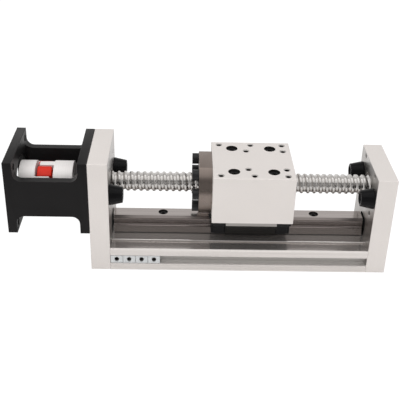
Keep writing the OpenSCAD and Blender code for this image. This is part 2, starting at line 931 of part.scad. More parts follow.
// Groove profile across one lead: [distance along X from the groove's middle, radius]
groove_half = acos((ball_circle_r - crest_r) / groove_r);
groove_points = [for (i = [0 : groove_steps])
    let (t = -groove_half + 2 * groove_half * i / groove_steps)
    [groove_r * sin(t), ball_circle_r - groove_r * cos(t)]];
lanes = groove_steps + 1;
turns = floor((thread_x1 - thread_x0 - 2) / lead) - 1;
columns = turns * helix_steps;
helix_x0 = thread_x0 + 1 + groove_points[groove_steps][0];
// Angle at which the groove's middle passes x = 0, from +Y towards +Z
helix_phase = screw_turn - helix_x0 / lead * 360;

// The groove runs out to the crest over the first and the last columns
function groove_depth(j) = min(1, j / fade_steps, (columns - j) / fade_steps);

function helix_point(j, k) =
    let (
        a = screw_turn + j * 360 / helix_steps,
        r = crest_r - max(0, groove_depth(j)) * (crest_r - groove_points[k][1])
    )
    [helix_x0 + lead * j / helix_steps + groove_points[k][0], r * cos(a), r * sin(a)];

function ring_point(x, j) =
    let (a = screw_turn + j * 360 / helix_steps)
    [x, crest_r * cos(a), crest_r * sin(a)];

// Vertices: the helical lanes column by column, then the first lane's last turn, then the two end rings
function lane(j, k) = j <= columns ? j * lanes + k : columns * lanes + lanes + (j - columns - 1);
tail = (columns + 1) * lanes + helix_steps;
function start_ring(j) = tail + (j % helix_steps);
function end_ring(j) = tail + helix_steps + (j % helix_steps);

module thread_surface() {
    last = columns + helix_steps;
    points = concat(
        [for (j = [0 : columns], k = [0 : groove_steps]) helix_point(j, k)],
        [for (j = [columns + 1 : last]) helix_point(j, 0)],
        [for (j = [0 : helix_steps - 1]) ring_point(thread_x0, j)],
        [for (j = [0 : helix_steps - 1]) ring_point(thread_x1, j)]
    );
    walls = [for (j = [0 : columns - 1], k = [0 : groove_steps])
        k < groove_steps
            ? [lane(j, k), lane(j + 1, k), lane(j + 1, k + 1), lane(j, k + 1)]
            : [lane(j, k), lane(j + 1, k), lane(j + 1 + helix_steps, 0), lane(j + helix_steps, 0)]];
    start_strip = [for (j = [0 : helix_steps - 2])
        [start_ring(j), start_ring(j + 1), lane(j + 1, 0), lane(j, 0)]];
    end_strip = [for (j = [columns + 1 : last - 1])
        [lane(j, 0), lane(j + 1, 0), end_ring(j + 1), end_ring(j)]];
    // The last face of each strip meets the ends of all the lanes, so it's a fan about its far corner
    start_seam = concat(
        [start_ring(helix_steps - 1), start_ring(0)],
        [for (k = [0 : groove_steps]) lane(0, k)],
        [lane(helix_steps, 0)]);
    end_seam = concat(
        [end_ring(columns + 1), end_ring(columns), lane(last, 0)],
        [for (k = [groove_steps : -1 : 0]) lane(columns, k)]);
    quads = concat(walls, start_strip, end_strip);
    faces = concat(
        [for (q = quads) [q[2], q[1], q[0]]],
        [for (q = quads) [q[3], q[2], q[0]]],
        [for (i = [0 : len(start_seam) - 2]) [start_seam[i + 1], start_seam[i], lane(helix_steps - 1, 0)]],
        [for (i = [0 : len(end_seam) - 2]) [end_seam[i + 1], end_seam[i], lane(columns + 1, 0)]],
        [for (j = [1 : helix_steps - 2]) [start_ring(0), start_ring(j), start_ring(j + 1)]],
        [for (j = [1 : helix_steps - 2]) [end_ring(j + 1), end_ring(j), end_ring(0)]]);
    translate([0, 0, axis_z])
        polyhedron(points, faces, convexity = 4);
}

module ball_screw() {
    journal_x0 = drive_bearing_x - lock_nut_t;
    journal_x1 = idle_bearing_x + bearing_w + clip_t + 1.5;
    groove_x = idle_bearing_x + bearing_w;
    color(steel) {
        thread_surface();
        rod_x(journal_x0, thread_x0 + 0.5, drive_journal_d / 2 - seat_gap);
        rod_x(jaw_x1 + 0.5, journal_x0, end_journal_d / 2 - seat_gap);
        difference() {
            rod_x(thread_x1 - 0.5, journal_x1, end_journal_d / 2 - seat_gap);
            ring_x(groove_x, groove_x + clip_t, end_journal_d, end_journal_d / 2 - clip_sink);
        }
    }
}

// ---------- nut ----------

module ball_nut() {
    x1 = nut_x0 + nut_l;
    mid = nut_x0 + nut_l / 2;
    room = lead * nut_turns / 2 + nut_ball_d;
    color([0.50, 0.46, 0.43])
        difference() {
            union() {
                intersection() {
                    rod_x(nut_x0, nut_x0 + nut_flange_t, nut_flange_d / 2);
                    translate([nut_x0 - cut, -nut_flange_d, axis_z - nut_flat / 2])
                        cube([nut_flange_t + 2 * cut, 2 * nut_flange_d, nut_flat]);
                }
                rod_x(nut_x0 + nut_flange_t - 0.5, x1, nut_d / 2);
            }
            rod_x(nut_x0 - cut, x1 + cut, nut_bore_r);
            rod_x(nut_x0 - cut, nut_x0 + wiper_t, wiper_d / 2 + hole_gap);
            rod_x(x1 - wiper_t, x1 + cut, wiper_d / 2 + hole_gap);
            rod_x(mid - room, mid + room, ball_circle_r + nut_ball_r + ball_gap);
            at_nut_screws(nut_x0)
                translate([0, 0, -nut_flange_t - cut])
                    cylinder(h = nut_flange_t + 2 * cut, r = m5[0] / 2 + hole_gap);
            translate([nut_x0 + nut_flange_t / 2, 0, axis_z - nut_flat / 2 - cut])
                cylinder(h = 7 + cut, d = 5);
        }
}

module nut_screws() {
    color(black)
        at_nut_screws(nut_x0)
            socket_screw(m5, nut_screw_l);
}

module nut_wipers() {
    color(black)
        for (x = [nut_x0, nut_x0 + nut_l - wiper_t])
            ring_x(x, x + wiper_t, wiper_d / 2, crest_r + seal_gap);
}

// The balls sit in the screw's groove, in the middle of the nut
module nut_balls() {
    mid = nut_x0 + nut_l / 2;
    color(steel)
        for (i = [0 : nut_turns * balls_per_turn - 1]) {
            x = mid + lead * (i / balls_per_turn - nut_turns / 2);
            translate([x, 0, axis_z])
                rotate([helix_phase + 360 * x / lead, 0, 0])
                    translate([0, ball_circle_r, 0])
                        sphere(r = nut_ball_r);
        }
}

// ---------- carriage and guide block ----------

module carriage_block() {
    x1 = carriage_x0 + carriage_l;
    inner_x = carriage_x + top_hole_pitch / 2 - inner_hole_x;
    color(aluminium)
        difference() {
            bevelled_box([carriage_x0, -side_y, carriage_z0], [x1, side_y, carriage_z1]);
            rod_x(carriage_x0 - cut, carriage_x0 + nut_pocket, nut_d / 2 + hole_gap);
            rod_x(carriage_x0, x1 + cut, screw_clear_d / 2);
            at_nut_screws(carriage_x0)
                translate([0, 0, nut_flange_t - nut_screw_l - 4])
                    cylinder(h = nut_screw_l, r = m5[0] / 2 + hole_gap);
            at_block_screws(carriage_z1 - carriage_sink)
                screw_hole(m5, carriage_z1 - carriage_z0, carriage_sink);
            for (x = [-1, 0, 1], y = [-1, 1])
                translate([carriage_x + x * top_hole_pitch / 2, y * top_hole_pitch / 2, carriage_z1])
                    tapped_hole();
            for (x = [inner_x, inner_x + inner_hole_x], y = [-1, 1])
                translate([x, y * inner_hole_y / 2, carriage_z1])
                    tapped_hole();
        }
}

module carriage_screws() {
    color(black)
        at_block_screws(carriage_z1 - carriage_sink)
            socket_screw(m5, carriage_screw_l);
}

// Outline of the guide block as (y, z), drawn in by g all round
module block_outline(g = 0) {
    neck_z = carriage_z0 - block_flange_t;
    bevel = 1.2;
    for (s = [0, 1])
        mirror([s, 0])
            polygon([
                [-1, block_z0 + g], [block_body_w / 2 - g - bevel, block_z0 + g],
                [block_body_w / 2 - g, block_z0 + g + bevel], [block_body_w / 2 - g, neck_z + g],
                [block_w / 2 - g - bevel, neck_z + g], [block_w / 2 - g, neck_z + g + bevel],
                [block_w / 2 - g, carriage_z0 - g], [-1, carriage_z0 - g]
            ]);
}

// The rail's own outline grown by g, which the block, the caps and the seals slide over
module rail_clearance(g) {
    w = rail_w / 2 + g;
    top_z = rail_z + rail_h + g;
    bevel = (rail_w - rail_top_w) / 2;
    polygon([
        [-w, rail_z], [w, rail_z], [w, top_z - bevel], [w - bevel, top_z],
        [bevel - w, top_z], [-w, top_z - bevel]
    ]);
}

module guide_block() {
    strip_z = carriage_z0 - strip_h;
    color([0.30, 0.29, 0.28])
        difference() {
            extrude_x(carriage_x - block_body_l / 2, carriage_x + block_body_l / 2)
                difference() {
                    block_outline();
                    rail_clearance(rail_room);
                    for (s = [0, 1])
                        mirror([s, 0]) {
                            translate([block_w / 2 - strip_step, carriage_z0 - block_flange_t - cut])
                                square([cut, block_flange_t - strip_h + cut]);
                            for (z = groove_zs) {
                                translate([groove_y, z])
                                    circle(r = rail_groove_r);
                                translate([return_y, z])
                                    circle(r = return_r);
                            }
                        }
                }
            at_block_screws(carriage_z0)
                translate([0, 0, -block_flange_t - cut])
                    cylinder(h = block_flange_t + 2 * cut, r = m5[0] / 2 + hole_gap);
            for (side = [-1, 1], s = [-1, 1])
                facing(side, carriage_x + side * block_body_l / 2, s * cap_screw_y, cap_screw_z)
                    translate([0, 0, -6])
                        cylinder(h = 6 + cut, r = m2[0] / 2 + hole_gap);
        }
}

// One end piece of the guide block, t thick, starting at distance d from the block's middle
module block_end_piece(side, d, t, g, rail_g) {
    difference() {
        extrude_x(carriage_x + min(side * d, side * (d + t)), carriage_x + max(side * d, side * (d + t)))
            difference() {
                block_outline(g);
                rail_clearance(rail_g);
            }
        for (s = [-1, 1])
            facing(side, carriage_x + side * d, s * cap_screw_y, cap_screw_z)
                translate([0, 0, -cut])
                    cylinder(h = t + 2 * cut, r = m2[0] / 2 + hole_gap);
    }
}

module block_end_caps() {
    color(black)
        for (side = [-1, 1])
            block_end_piece(side, block_body_l / 2, block_cap_l, cap_drop, seal_gap + 0.3);
}

module block_end_seals() {
    color(dark_steel)
        for (side = [-1, 1])
            block_end_piece(side, block_body_l / 2 + block_cap_l, block_seal_t, cap_drop + 0.4, seal_gap);
}

module block_cap_screws() {
    color(dark_steel)
        for (side = [-1, 1], s = [-1, 1])
            facing(side, carriage_x + side * block_l / 2, s * cap_screw_y, cap_screw_z)
                socket_screw(m2, block_cap_l + block_seal_t + 4);
}

module block_balls() {
    pitch = 2 * rail_ball_r + 0.4;
    count = floor((block_body_l - 2) / pitch);
    color(steel)
        for (s = [-1, 1], z = groove_zs, i = [0 : count - 1])
            translate([carriage_x + (i - (count - 1) / 2) * pitch, s * groove_y, z])
                sphere(r = rail_ball_r);
}

base_profile();
linear_rail();
rail_screws();
t_nuts();
drive_end_plate();
idle_end_plate();
end_plate_screws();
motor_bracket();
bracket_screws();
drive_bearing_outer_ring();
drive_bearing_balls();
drive_bearing_cage();
bearing_retainer();
retainer_screws();
idle_bearing_outer_ring();
idle_bearing_balls();
idle_bearing_cage();
plate_circlip();
rubber_stops();
stop_studs();
carriage_block();
carriage_screws();
guide_block();
block_end_caps();
block_end_seals();
block_cap_screws();
block_balls();
ball_nut();
nut_screws();
nut_wipers();
nut_balls();
ball_screw();
drive_bearing_inner_ring();
lock_nut();
idle_bearing_inner_ring();
shaft_circlip();
coupling_screw_hub();
coupling_spider();
coupling_motor_hub();
coupling_clamp_screws();
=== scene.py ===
"""Ball screw linear module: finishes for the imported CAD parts, the detailed pieces that stand for some of
them, and a plain white studio. Run as a script in Blender; each group of pieces has its own operator."""

import json
import math

import bmesh
import bpy
from mathutils import Matrix, Vector


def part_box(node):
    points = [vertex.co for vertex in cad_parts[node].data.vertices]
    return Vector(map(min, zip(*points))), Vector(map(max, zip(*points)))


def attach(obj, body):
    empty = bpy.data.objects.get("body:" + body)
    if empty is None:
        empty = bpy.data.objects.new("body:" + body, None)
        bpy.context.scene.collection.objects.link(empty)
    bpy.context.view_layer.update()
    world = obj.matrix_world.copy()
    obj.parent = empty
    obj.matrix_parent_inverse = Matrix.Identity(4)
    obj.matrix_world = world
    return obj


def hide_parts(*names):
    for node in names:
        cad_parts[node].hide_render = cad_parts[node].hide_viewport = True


bl_info = {
    "name": "Ball Screw Linear Module",
    "version": (1, 0, 0),
    "blender": (4, 5, 0),
    "location": "View3D > Sidebar > Linear Module",
    "description": "Finishes a packed ball screw module with machined, moulded and ground surfaces",
    "category": "Object",
}

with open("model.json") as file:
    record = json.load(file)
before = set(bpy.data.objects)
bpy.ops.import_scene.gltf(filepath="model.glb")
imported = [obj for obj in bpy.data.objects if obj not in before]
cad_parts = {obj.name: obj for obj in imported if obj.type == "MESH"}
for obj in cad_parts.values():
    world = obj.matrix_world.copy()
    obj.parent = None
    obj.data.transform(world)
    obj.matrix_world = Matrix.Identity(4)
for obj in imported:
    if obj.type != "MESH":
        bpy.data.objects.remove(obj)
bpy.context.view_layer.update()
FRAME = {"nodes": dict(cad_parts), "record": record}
NODES = FRAME["nodes"]
MM = 0.001


# ---------- places that come from the frame ----------

def span(node):
    """Lowest corner, highest corner and middle of a CAD node, in metres."""
    low, high = (Vector(corner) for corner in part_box(node))
    return low, high, (low + high) / 2


def axis_height():
    """Height of the screw's axis, from the bearing that carries it."""
    return span("drive_bearing_outer_ring")[2].z


def world_points(node):
    """All vertices of a CAD node in the shared frame."""
    obj = NODES[node]
    return [obj.matrix_world @ v.co for v in obj.data.vertices]


# ---------- what a user may change ----------

class ModuleSizes(bpy.types.PropertyGroup):
    """Sizes of the pieces that are modelled here"""
    crest_radius: bpy.props.FloatProperty(
        name="Crest radius", description="Outside radius of the screw's thread",
        default=7.75 * MM, min=7.0 * MM, max=8.5 * MM, subtype="DISTANCE", unit="LENGTH")
    ball_circle: bpy.props.FloatProperty(
        name="Ball circle", description="Radius from the screw's axis to the middle of the balls",
        default=8.25 * MM, min=7.5 * MM, max=9.0 * MM, subtype="DISTANCE", unit="LENGTH")
    groove_radius: bpy.props.FloatProperty(
        name="Groove radius", description="Radius of the thread's groove",
        default=1.7075 * MM, min=1.3 * MM, max=2.0 * MM, subtype="DISTANCE", unit="LENGTH")
    lead: bpy.props.FloatProperty(
        name="Lead", description="How far the thread moves along in one turn",
        default=5.0 * MM, min=4.0 * MM, max=10.0 * MM, subtype="DISTANCE", unit="LENGTH")
    crest_round: bpy.props.FloatProperty(
        name="Crest rounding", description="Width of the round edges between crest and groove",
        default=0.35 * MM, min=0.05 * MM, max=0.5 * MM, subtype="DISTANCE", unit="LENGTH")
    stop_recess: bpy.props.FloatProperty(
        name="Stop recess", description="Depth of the dished end of each rubber stop",
        default=1.2 * MM, min=0.0, max=2.0 * MM, subtype="DISTANCE", unit="LENGTH")


class ModuleColours(bpy.types.PropertyGroup):
    """Colours of the finishes"""
    anodised: bpy.props.FloatVectorProperty(
        name="Clear anodised", description="Plates, carriage and base profile",
        default=(0.68, 0.645, 0.622), min=0.0, max=1.0, subtype="COLOR")
    turned: bpy.props.FloatVectorProperty(
        name="Turned aluminium", description="Coupling hubs",
        default=(0.80, 0.775, 0.765), min=0.0, max=1.0, subtype="COLOR")
    black_anodised: bpy.props.FloatVectorProperty(
        name="Black anodised", description="Motor bracket",
        default=(0.006, 0.0055, 0.0058), min=0.0, max=1.0, subtype="COLOR")
    rail_steel: bpy.props.FloatVectorProperty(
        name="Rail steel", description="Ground rail and the studs of the stops",
        default=(0.44, 0.405, 0.39), min=0.0, max=1.0, subtype="COLOR")
    screw_steel: bpy.props.FloatVectorProperty(
        name="Screw steel", description="Ground ball screw",
        default=(0.60, 0.585, 0.57), min=0.0, max=1.0, subtype="COLOR")
    nut_steel: bpy.props.FloatVectorProperty(
        name="Nut steel", description="Ball nut",
        default=(0.245, 0.205, 0.183), min=0.0, max=1.0, subtype="COLOR")
    zinc: bpy.props.FloatVectorProperty(
        name="Zinc plating", description="T-nuts",
        default=(0.66, 0.68, 0.69), min=0.0, max=1.0, subtype="COLOR")
    black_oxide: bpy.props.FloatVectorProperty(
        name="Black oxide", description="Screws, lock nut and spring rings",
        default=(0.012, 0.012, 0.013), min=0.0, max=1.0, subtype="COLOR")
    rubber: bpy.props.FloatVectorProperty(
        name="Rubber", description="Stops and seals",
        default=(0.004, 0.004, 0.0045), min=0.0, max=1.0, subtype="COLOR")
    spider: bpy.props.FloatVectorProperty(
        name="Spider", description="Elastic element of the coupling",
        default=(0.66, 0.028, 0.014), min=0.0, max=1.0, subtype="COLOR")


class StudioValues(bpy.types.PropertyGroup):
    """Camera and light"""
    camera_place: bpy.props.FloatVectorProperty(
        name="Camera place", description="Where the camera stands",
        default=(-0.04579, -0.52871, 0.36479), subtype="XYZ", unit="LENGTH")
    camera_yaw: bpy.props.FloatProperty(
        name="Yaw", description="Turn of the camera to the right", default=0.0323253, subtype="ANGLE")
    camera_pitch: bpy.props.FloatProperty(
        name="Pitch", description="Tilt of the camera downwards", default=0.4990581, subtype="ANGLE")
    camera_roll: bpy.props.FloatProperty(
        name="Roll", description="Roll of the camera", default=0.0315872, subtype="ANGLE")
    camera_lens: bpy.props.FloatProperty(
        name="Lens", description="Focal length in millimetres", default=70.295, min=20.0, max=200.0)
    camera_shift: bpy.props.FloatVectorProperty(
        name="Lens shift", description="Shift of the frame across and up",
        default=(-0.00999, -0.08319), size=2)
    overhead_power: bpy.props.FloatProperty(
        name="Overhead softbox", description="Power of the light above the module",
        default=5.1, min=0.0, max=200.0, unit="POWER")
    room_light: bpy.props.FloatProperty(
        name="Room light", description="Brightness of the room around the module",
        default=0.85, min=0.0, max=2.0)


# ---------- shader helpers ----------

FLOAT, VECTOR = "NodeSocketFloat", "NodeSocketVector"
PATTERN = [("Tone", FLOAT), ("Height", FLOAT)]      # what every pattern group puts out


def put(tree, kind, inputs=None, **settings):
    """Adds a shader node; inputs are values, or sockets to link from."""
    item = tree.nodes.new(kind)
    for key, value in settings.items():
        setattr(item, key, value)
    for key, value in (inputs or {}).items():
        if isinstance(value, bpy.types.NodeSocket):
            tree.links.new(value, item.inputs[key])
        else:
            item.inputs[key].default_value = value
    return item


def by_label(values):
    """Values under their sockets' labels: Axis_height stands for the socket Axis height."""
    return {key.replace("_", " "): value for key, value in values.items()}


def math_node(tree, operation, a, b=0.0, clamp=False):
    """Result of one sum on two values or sockets."""
    return put(tree, "ShaderNodeMath", {0: a, 1: b}, operation=operation, use_clamp=clamp).outputs[0]


def mix_colour(tree, factor, a, b):
    """Colour between a and b."""
    return put(tree, "ShaderNodeMix", {0: factor, 6: a, 7: b}, data_type="RGBA").outputs[2]


def remap(tree, value, low, high, to_low=0.0, to_high=1.0, **settings):
    """Value moved from one range to another and held inside it."""
    inputs = {0: value, 1: low, 2: high, 3: to_low, 4: to_high}
    return put(tree, "ShaderNodeMapRange", inputs, **settings).outputs[0]


def object_place(tree):
    """Place on the object, in metres."""
    return put(tree, "ShaderNodeTexCoord").outputs["Object"]


def stretched(tree, place, factors):
    """Place with each direction scaled by its own factor."""
    return put(tree, "ShaderNodeVectorMath", {0: place, 1: factors}, operation="MULTIPLY").outputs[0]


def noise(tree, place, scale, detail, distortion=0.0):
    """Soft noise between 0 and 1."""
    inputs = {"Vector": place, "Scale": scale, "Detail": detail, "Distortion": distortion}
    return put(tree, "ShaderNodeTexNoise", inputs).outputs[0]


# ---------- shader groups that several finishes share ----------

def new_group(name, inputs, outputs):
    """Empty shader group; inputs are (name, kind, value), outputs are (name, kind)."""
    tree = bpy.data.node_groups.new(name, "ShaderNodeTree")
    for label, kind, value in inputs:
        socket = tree.interface.new_socket(name=label, in_out="INPUT", socket_type=kind)
        socket.default_value = value
    for label, kind in outputs:
        tree.interface.new_socket(name=label, in_out="OUTPUT", socket_type=kind)
    return tree, tree.nodes.new("NodeGroupInput").outputs, tree.nodes.new("NodeGroupOutput").inputs


def group(tree, name, **inputs):
    """Places a shader group in a material with its own values."""
    return put(tree, "ShaderNodeGroup", by_label(inputs), node_tree=bpy.data.node_groups[name])


def build_blast_grain():
    """Fine matt grain of a blasted and anodised face, with faint cloudy patches."""
    tree, given, out = new_group("Blast grain", [("Scale", FLOAT, 1500.0), ("Patches", FLOAT, 0.4)], PATTERN)
    place = object_place(tree)
    grain = noise(tree, place, given["Scale"], 3.0)
    cloud = math_node(tree, "SUBTRACT", noise(tree, place, 28.0, 2.0), 0.5)
    patch = math_node(tree, "MULTIPLY", cloud, given["Patches"])
    tree.links.new(math_node(tree, "ADD", grain, patch, clamp=True), out["Tone"])
    tree.links.new(grain, out["Height"])


def build_drawn_streaks():
    """Long streaks left by a die, a mill or a grinding wheel; Stretch is the marks in a metre each way."""
    tree, given, out = new_group(
        "Drawn streaks", [("Stretch", VECTOR, (6.0, 900.0, 900.0)), ("Contrast", FLOAT, 1.0)], PATTERN)
    place = stretched(tree, object_place(tree), given["Stretch"])
    broad = math_node(tree, "MULTIPLY", noise(tree, place, 1.0, 4.0), 0.6)
    fine = math_node(tree, "MULTIPLY", noise(tree, place, 3.7, 1.0), 0.4)
    both = math_node(tree, "ADD", broad, fine)
    strong = math_node(tree, "MULTIPLY", math_node(tree, "SUBTRACT", both, 0.5), given["Contrast"])
    tree.links.new(math_node(tree, "ADD", strong, 0.5, clamp=True), out["Tone"])
    tree.links.new(both, out["Height"])


def build_turned_rings():
    """Fine rings about the screw's axis, left by a lathe on ends and round faces."""
    tree, given, out = new_group(
        "Turned rings", [("Axis height", FLOAT, axis_height()), ("Scale", FLOAT, 1400.0)], PATTERN)
    x, y, z = put(tree, "ShaderNodeSeparateXYZ", {0: object_place(tree)}).outputs
    rise = math_node(tree, "SUBTRACT", z, given["Axis height"])
    squares = [math_node(tree, "MULTIPLY", side, side) for side in (rise, y)]
    radius = math_node(tree, "SQRT", math_node(tree, "ADD", *squares))
    line = put(tree, "ShaderNodeCombineXYZ", {0: radius, 1: x}).outputs[0]
    rings = noise(tree, line, given["Scale"], 2.0)
    tree.links.new(rings, out["Tone"])
    tree.links.new(rings, out["Height"])


def build_edge_wear():
    """Mask of the outer edges, broken up as handling wears them."""
    tree, given, out = new_group(
        "Edge wear", [("Width", FLOAT, 0.3 * MM), ("Amount", FLOAT, 1.0)], [("Mask", FLOAT)])
    rounded = put(tree, "ShaderNodeBevel", {"Radius": given["Width"]}, samples=4).outputs[0]
    flat = put(tree, "ShaderNodeNewGeometry").outputs["Normal"]
    same = put(tree, "ShaderNodeVectorMath", {0: rounded, 1: flat}, operation="DOT_PRODUCT").outputs["Value"]
    edge = math_node(tree, "MULTIPLY", math_node(tree, "SUBTRACT", 1.0, same), 4.0, clamp=True)
    spots = remap(tree, noise(tree, object_place(tree), 420.0, 3.0), 0.35, 0.62, 0.25, 1.0)
    mask = math_node(tree, "MULTIPLY", math_node(tree, "MULTIPLY", edge, spots), given["Amount"])
    tree.links.new(mask, out["Mask"])


def build_oil_film():
    """Uneven film of oil and finger marks that changes how sharp a face reflects."""
    tree, given, out = new_group(
        "Oil film",
        [("Scale", FLOAT, 60.0), ("Low", FLOAT, 0.2), ("High", FLOAT, 0.4),
         ("Spread", VECTOR, (1.0, 1.0, 1.0))],
        [("Roughness", FLOAT)])
    place = stretched(tree, object_place(tree), given["Spread"])
    film = noise(tree, place, given["Scale"], 5.0, 0.6)
    tree.links.new(remap(tree, film, 0.3, 0.7, given["Low"], given["High"]), out["Roughness"])


def build_mould_skin():
    """Slightly mottled skin of moulded rubber and plastic."""
    tree, given, out = new_group("Mould skin", [("Scale", FLOAT, 900.0)], PATTERN)
    place = object_place(tree)
    pits = put(tree, "ShaderNodeTexVoronoi", {"Vector": place, "Scale": given["Scale"]}).outputs[0]
    cloud = noise(tree, place, 130.0, 3.0)
    relief = math_node(tree, "ADD", math_node(tree, "MULTIPLY", pits, 0.35),
                       math_node(tree, "MULTIPLY", cloud, 0.65))
    tree.links.new(cloud, out["Tone"])
    tree.links.new(relief, out["Height"])


GROUP_BUILDERS = (build_blast_grain, build_drawn_streaks, build_turned_rings, build_edge_wear, build_oil_film,
                  build_mould_skin)


# ---------- parts of a material ----------

def new_material(name, metallic=0.0, roughness=0.5, **uniform):
    """Node material with a Principled shader; uniform holds values set on the shader's own sockets."""
    mat = bpy.data.materials.new(name)
    mat.use_nodes = True
    tree = mat.node_tree
    tree.nodes.clear()
    values = {"Metallic": metallic, "Roughness": roughness, **by_label(uniform)}
    bsdf = put(tree, "ShaderNodeBsdfPrincipled", values)
    put(tree, "ShaderNodeOutputMaterial", {"Surface": bsdf.outputs["BSDF"]})
    return mat, tree, bsdf


def shade(colour, factor):
    """Colour made darker or lighter, with its alpha."""
    return (*[min(1.0, channel * factor) for channel in colour], 1.0)


def toned(tree, marks, colour, dark, light):
    """Colour between two shades of itself, by the tone of a pattern group."""
    return mix_colour(tree, marks.outputs["Tone"], shade(colour, dark), shade(colour, light))


def worn(tree, colour, bare, width, amount):
    """Colour that gives way to the bare metal along the edges."""
    wear = group(tree, "Edge wear", Width=width, Amount=amount)
    return mix_colour(tree, wear.outputs["Mask"], colour, bare)


def oil_film(tree, scale, low, high, spread=(1.0, 1.0, 1.0)):
    """Roughness between low and high."""
    return group(tree, "Oil film", Scale=scale, Low=low, High=high, Spread=spread).outputs["Roughness"]


def link_surface(tree, bsdf, colour, roughness, marks, depth, strength):
    """Feeds the shader its colour and roughness, and a pattern group's height as relief."""
    tree.links.new(colour, bsdf.inputs["Base Color"])
    tree.links.new(roughness, bsdf.inputs["Roughness"])
    relief = put(tree, "ShaderNodeBump",
                 {"Height": marks.outputs["Height"], "Distance": depth, "Strength": strength})
    tree.links.new(relief.outputs[0], bsdf.inputs["Normal"])


# ---------- materials ----------

ALONG_X = (6.0, 700.0, 700.0)       # marks in a metre on faces ground along the rail
MILLED = (30.0, 420.0, 12.0)        # the same on faces milled upwards
SPOTTED = (30.0, 30.0, 30.0)        # the same where the marks have no direction
RAIL_CHAMFER = 2.2 * MM             # slope from the rail's crown down to its side
GAP_SHADE_WIDTH = 0.45 * MM             # how far the painted shade of the gap shows around the rail's end
BAND_HEIGHT = 6.6 * MM              # ground band on the guide block's flank, from its top

# Colours that stay as they are when a user changes the others.
# painted highlight: lighter anodising on the profile's broken long edges
PROFILE_EDGE_HIGHLIGHT = (0.86, 0.82, 0.80)
SLOT_ALUMINIUM = (0.62, 0.60, 0.58)
PLATE_INSIDE = (0.52, 0.503, 0.487)
MILLED_ALUMINIUM = (0.46, 0.445, 0.43)
# painted shade on the walls of the carriage's counterbores
BORE_WALL_SHADE = (0.16, 0.155, 0.15)
# duller metal of a tapped thread, darkened further with painted shade
THREAD_WALL_SHADE = (0.22, 0.21, 0.205)
# painted shade: darker copies of the rail's steel for its waist, grooves and crown slopes
RACEWAY_STEEL_SHADED = (0.25, 0.218, 0.208)
CHAMFER_STEEL_SHADED = (0.27, 0.24, 0.23)
JOINT_SHADE = (0.03, 0.027, 0.025)
BLOCK_STEEL = (0.02, 0.019, 0.018)
BAND_STEEL = (0.34, 0.325, 0.31)
BEARING_STEEL = (0.60, 0.59, 0.58)
BALL_STEEL = (0.62, 0.61, 0.60)
CAP_PLASTIC = (0.005, 0.005, 0.0055)
BARE_UNDER_ANODISING = (0.09, 0.088, 0.086, 1.0)
BARE_UNDER_OXIDE = (0.16, 0.15, 0.145, 1.0)


def blasted_anodised(name, colour, metallic=0.2, low=0.42, high=0.52):
    """Clear anodising on a blasted face."""
    mat, tree, bsdf = new_material(name, metallic=metallic)
    grain = group(tree, "Blast grain", Scale=1700.0, Patches=0.5)
    tint = worn(tree, toned(tree, grain, colour, 0.90, 1.07), shade(colour, 1.22), 0.35 * MM, 0.5)
    link_surface(tree, bsdf, tint, oil_film(tree, 34.0, low, high), grain, 0.02 * MM, 0.6)
    return mat


def extruded_anodised(name, colour):
    """Clear anodising on a drawn face, bright along the profile."""
    mat, tree, bsdf = new_material(name, metallic=0.85)
    marks = group(tree, "Drawn streaks", Stretch=(5.0, 650.0, 650.0), Contrast=2.0)
    tint = worn(tree, toned(tree, marks, colour, 0.92, 1.18), shade(colour, 1.2), 0.25 * MM, 0.4)
    film = oil_film(tree, 26.0, 0.19, 0.25, (0.2, 4.0, 4.0))
    link_surface(tree, bsdf, tint, film, marks, 0.03 * MM, 0.5)
    return mat


def turned_metal(name, colour, low, high, wear=0.3, metallic=1.0):
    """Metal with the fine rings of a lathe."""
    mat, tree, bsdf = new_material(name, metallic=metallic)
    rings = group(tree, "Turned rings")
    tint = worn(tree, toned(tree, rings, colour, 0.88, 1.08), shade(colour, 1.3), 0.25 * MM, wear)
    link_surface(tree, bsdf, tint, oil_film(tree, 70.0, low, high), rings, 0.02 * MM, 0.5)
    return mat


def ground_metal(name, colour, stretch, low, high, metallic=1.0, contrast=1.2, spread=(1.0, 1.0, 1.0)):
    """Metal with straight marks of grinding or milling."""
    mat, tree, bsdf = new_material(name, metallic=metallic)
    marks = group(tree, "Drawn streaks", Stretch=stretch, Contrast=contrast)
    tint = worn(tree, toned(tree, marks, colour, 0.84, 1.12), shade(colour, 1.35), 0.2 * MM, 0.4)
    link_surface(tree, bsdf, tint, oil_film(tree, 85.0, low, high, spread), marks, 0.02 * MM, 0.5)
    return mat


def banded_steel(name, colour, band, band_z):
    """Dark steel flank with one ground band above a height."""
    mat, tree, bsdf = new_material(name, metallic=0.9)
    marks = group(tree, "Drawn streaks", Stretch=(7.0, 900.0, 900.0), Contrast=1.4)
    height = put(tree, "ShaderNodeSeparateXYZ", {0: object_place(tree)}).outputs[2]
    above = remap(tree, height, band_z, band_z + 0.15 * MM)
    dark = toned(tree, marks, colour, 0.7, 1.5)
    light = toned(tree, marks, band, 0.9, 1.1)
    rough = remap(tree, above, 0.0, 1.0, 0.42, 0.28)
    link_surface(tree, bsdf, mix_colour(tree, above, dark, light), rough, marks, 0.02 * MM, 0.5)
    return mat


def rail_end_shade_mask(tree, joint):
    """Mask of painted shade in the gap before the rail's end: the rail's outline, widened by the shade's
    width.
    """
    _x, y, z = put(tree, "ShaderNodeSeparateXYZ", {0: object_place(tree)}).outputs
    across = math_node(tree, "ABSOLUTE", y)
    high = span("linear_rail")[1]
    slope = high.y + high.z - RAIL_CHAMFER
    inside = math_node(tree, "LESS_THAN", across, high.y + joint)
    below = math_node(tree, "LESS_THAN", z, high.z + 0.6 * joint)
    corner = math_node(tree, "LESS_THAN", math_node(tree, "ADD", across, z), slope + 1.4 * joint)
    return math_node(tree, "MULTIPLY", math_node(tree, "MULTIPLY", inside, below), corner)


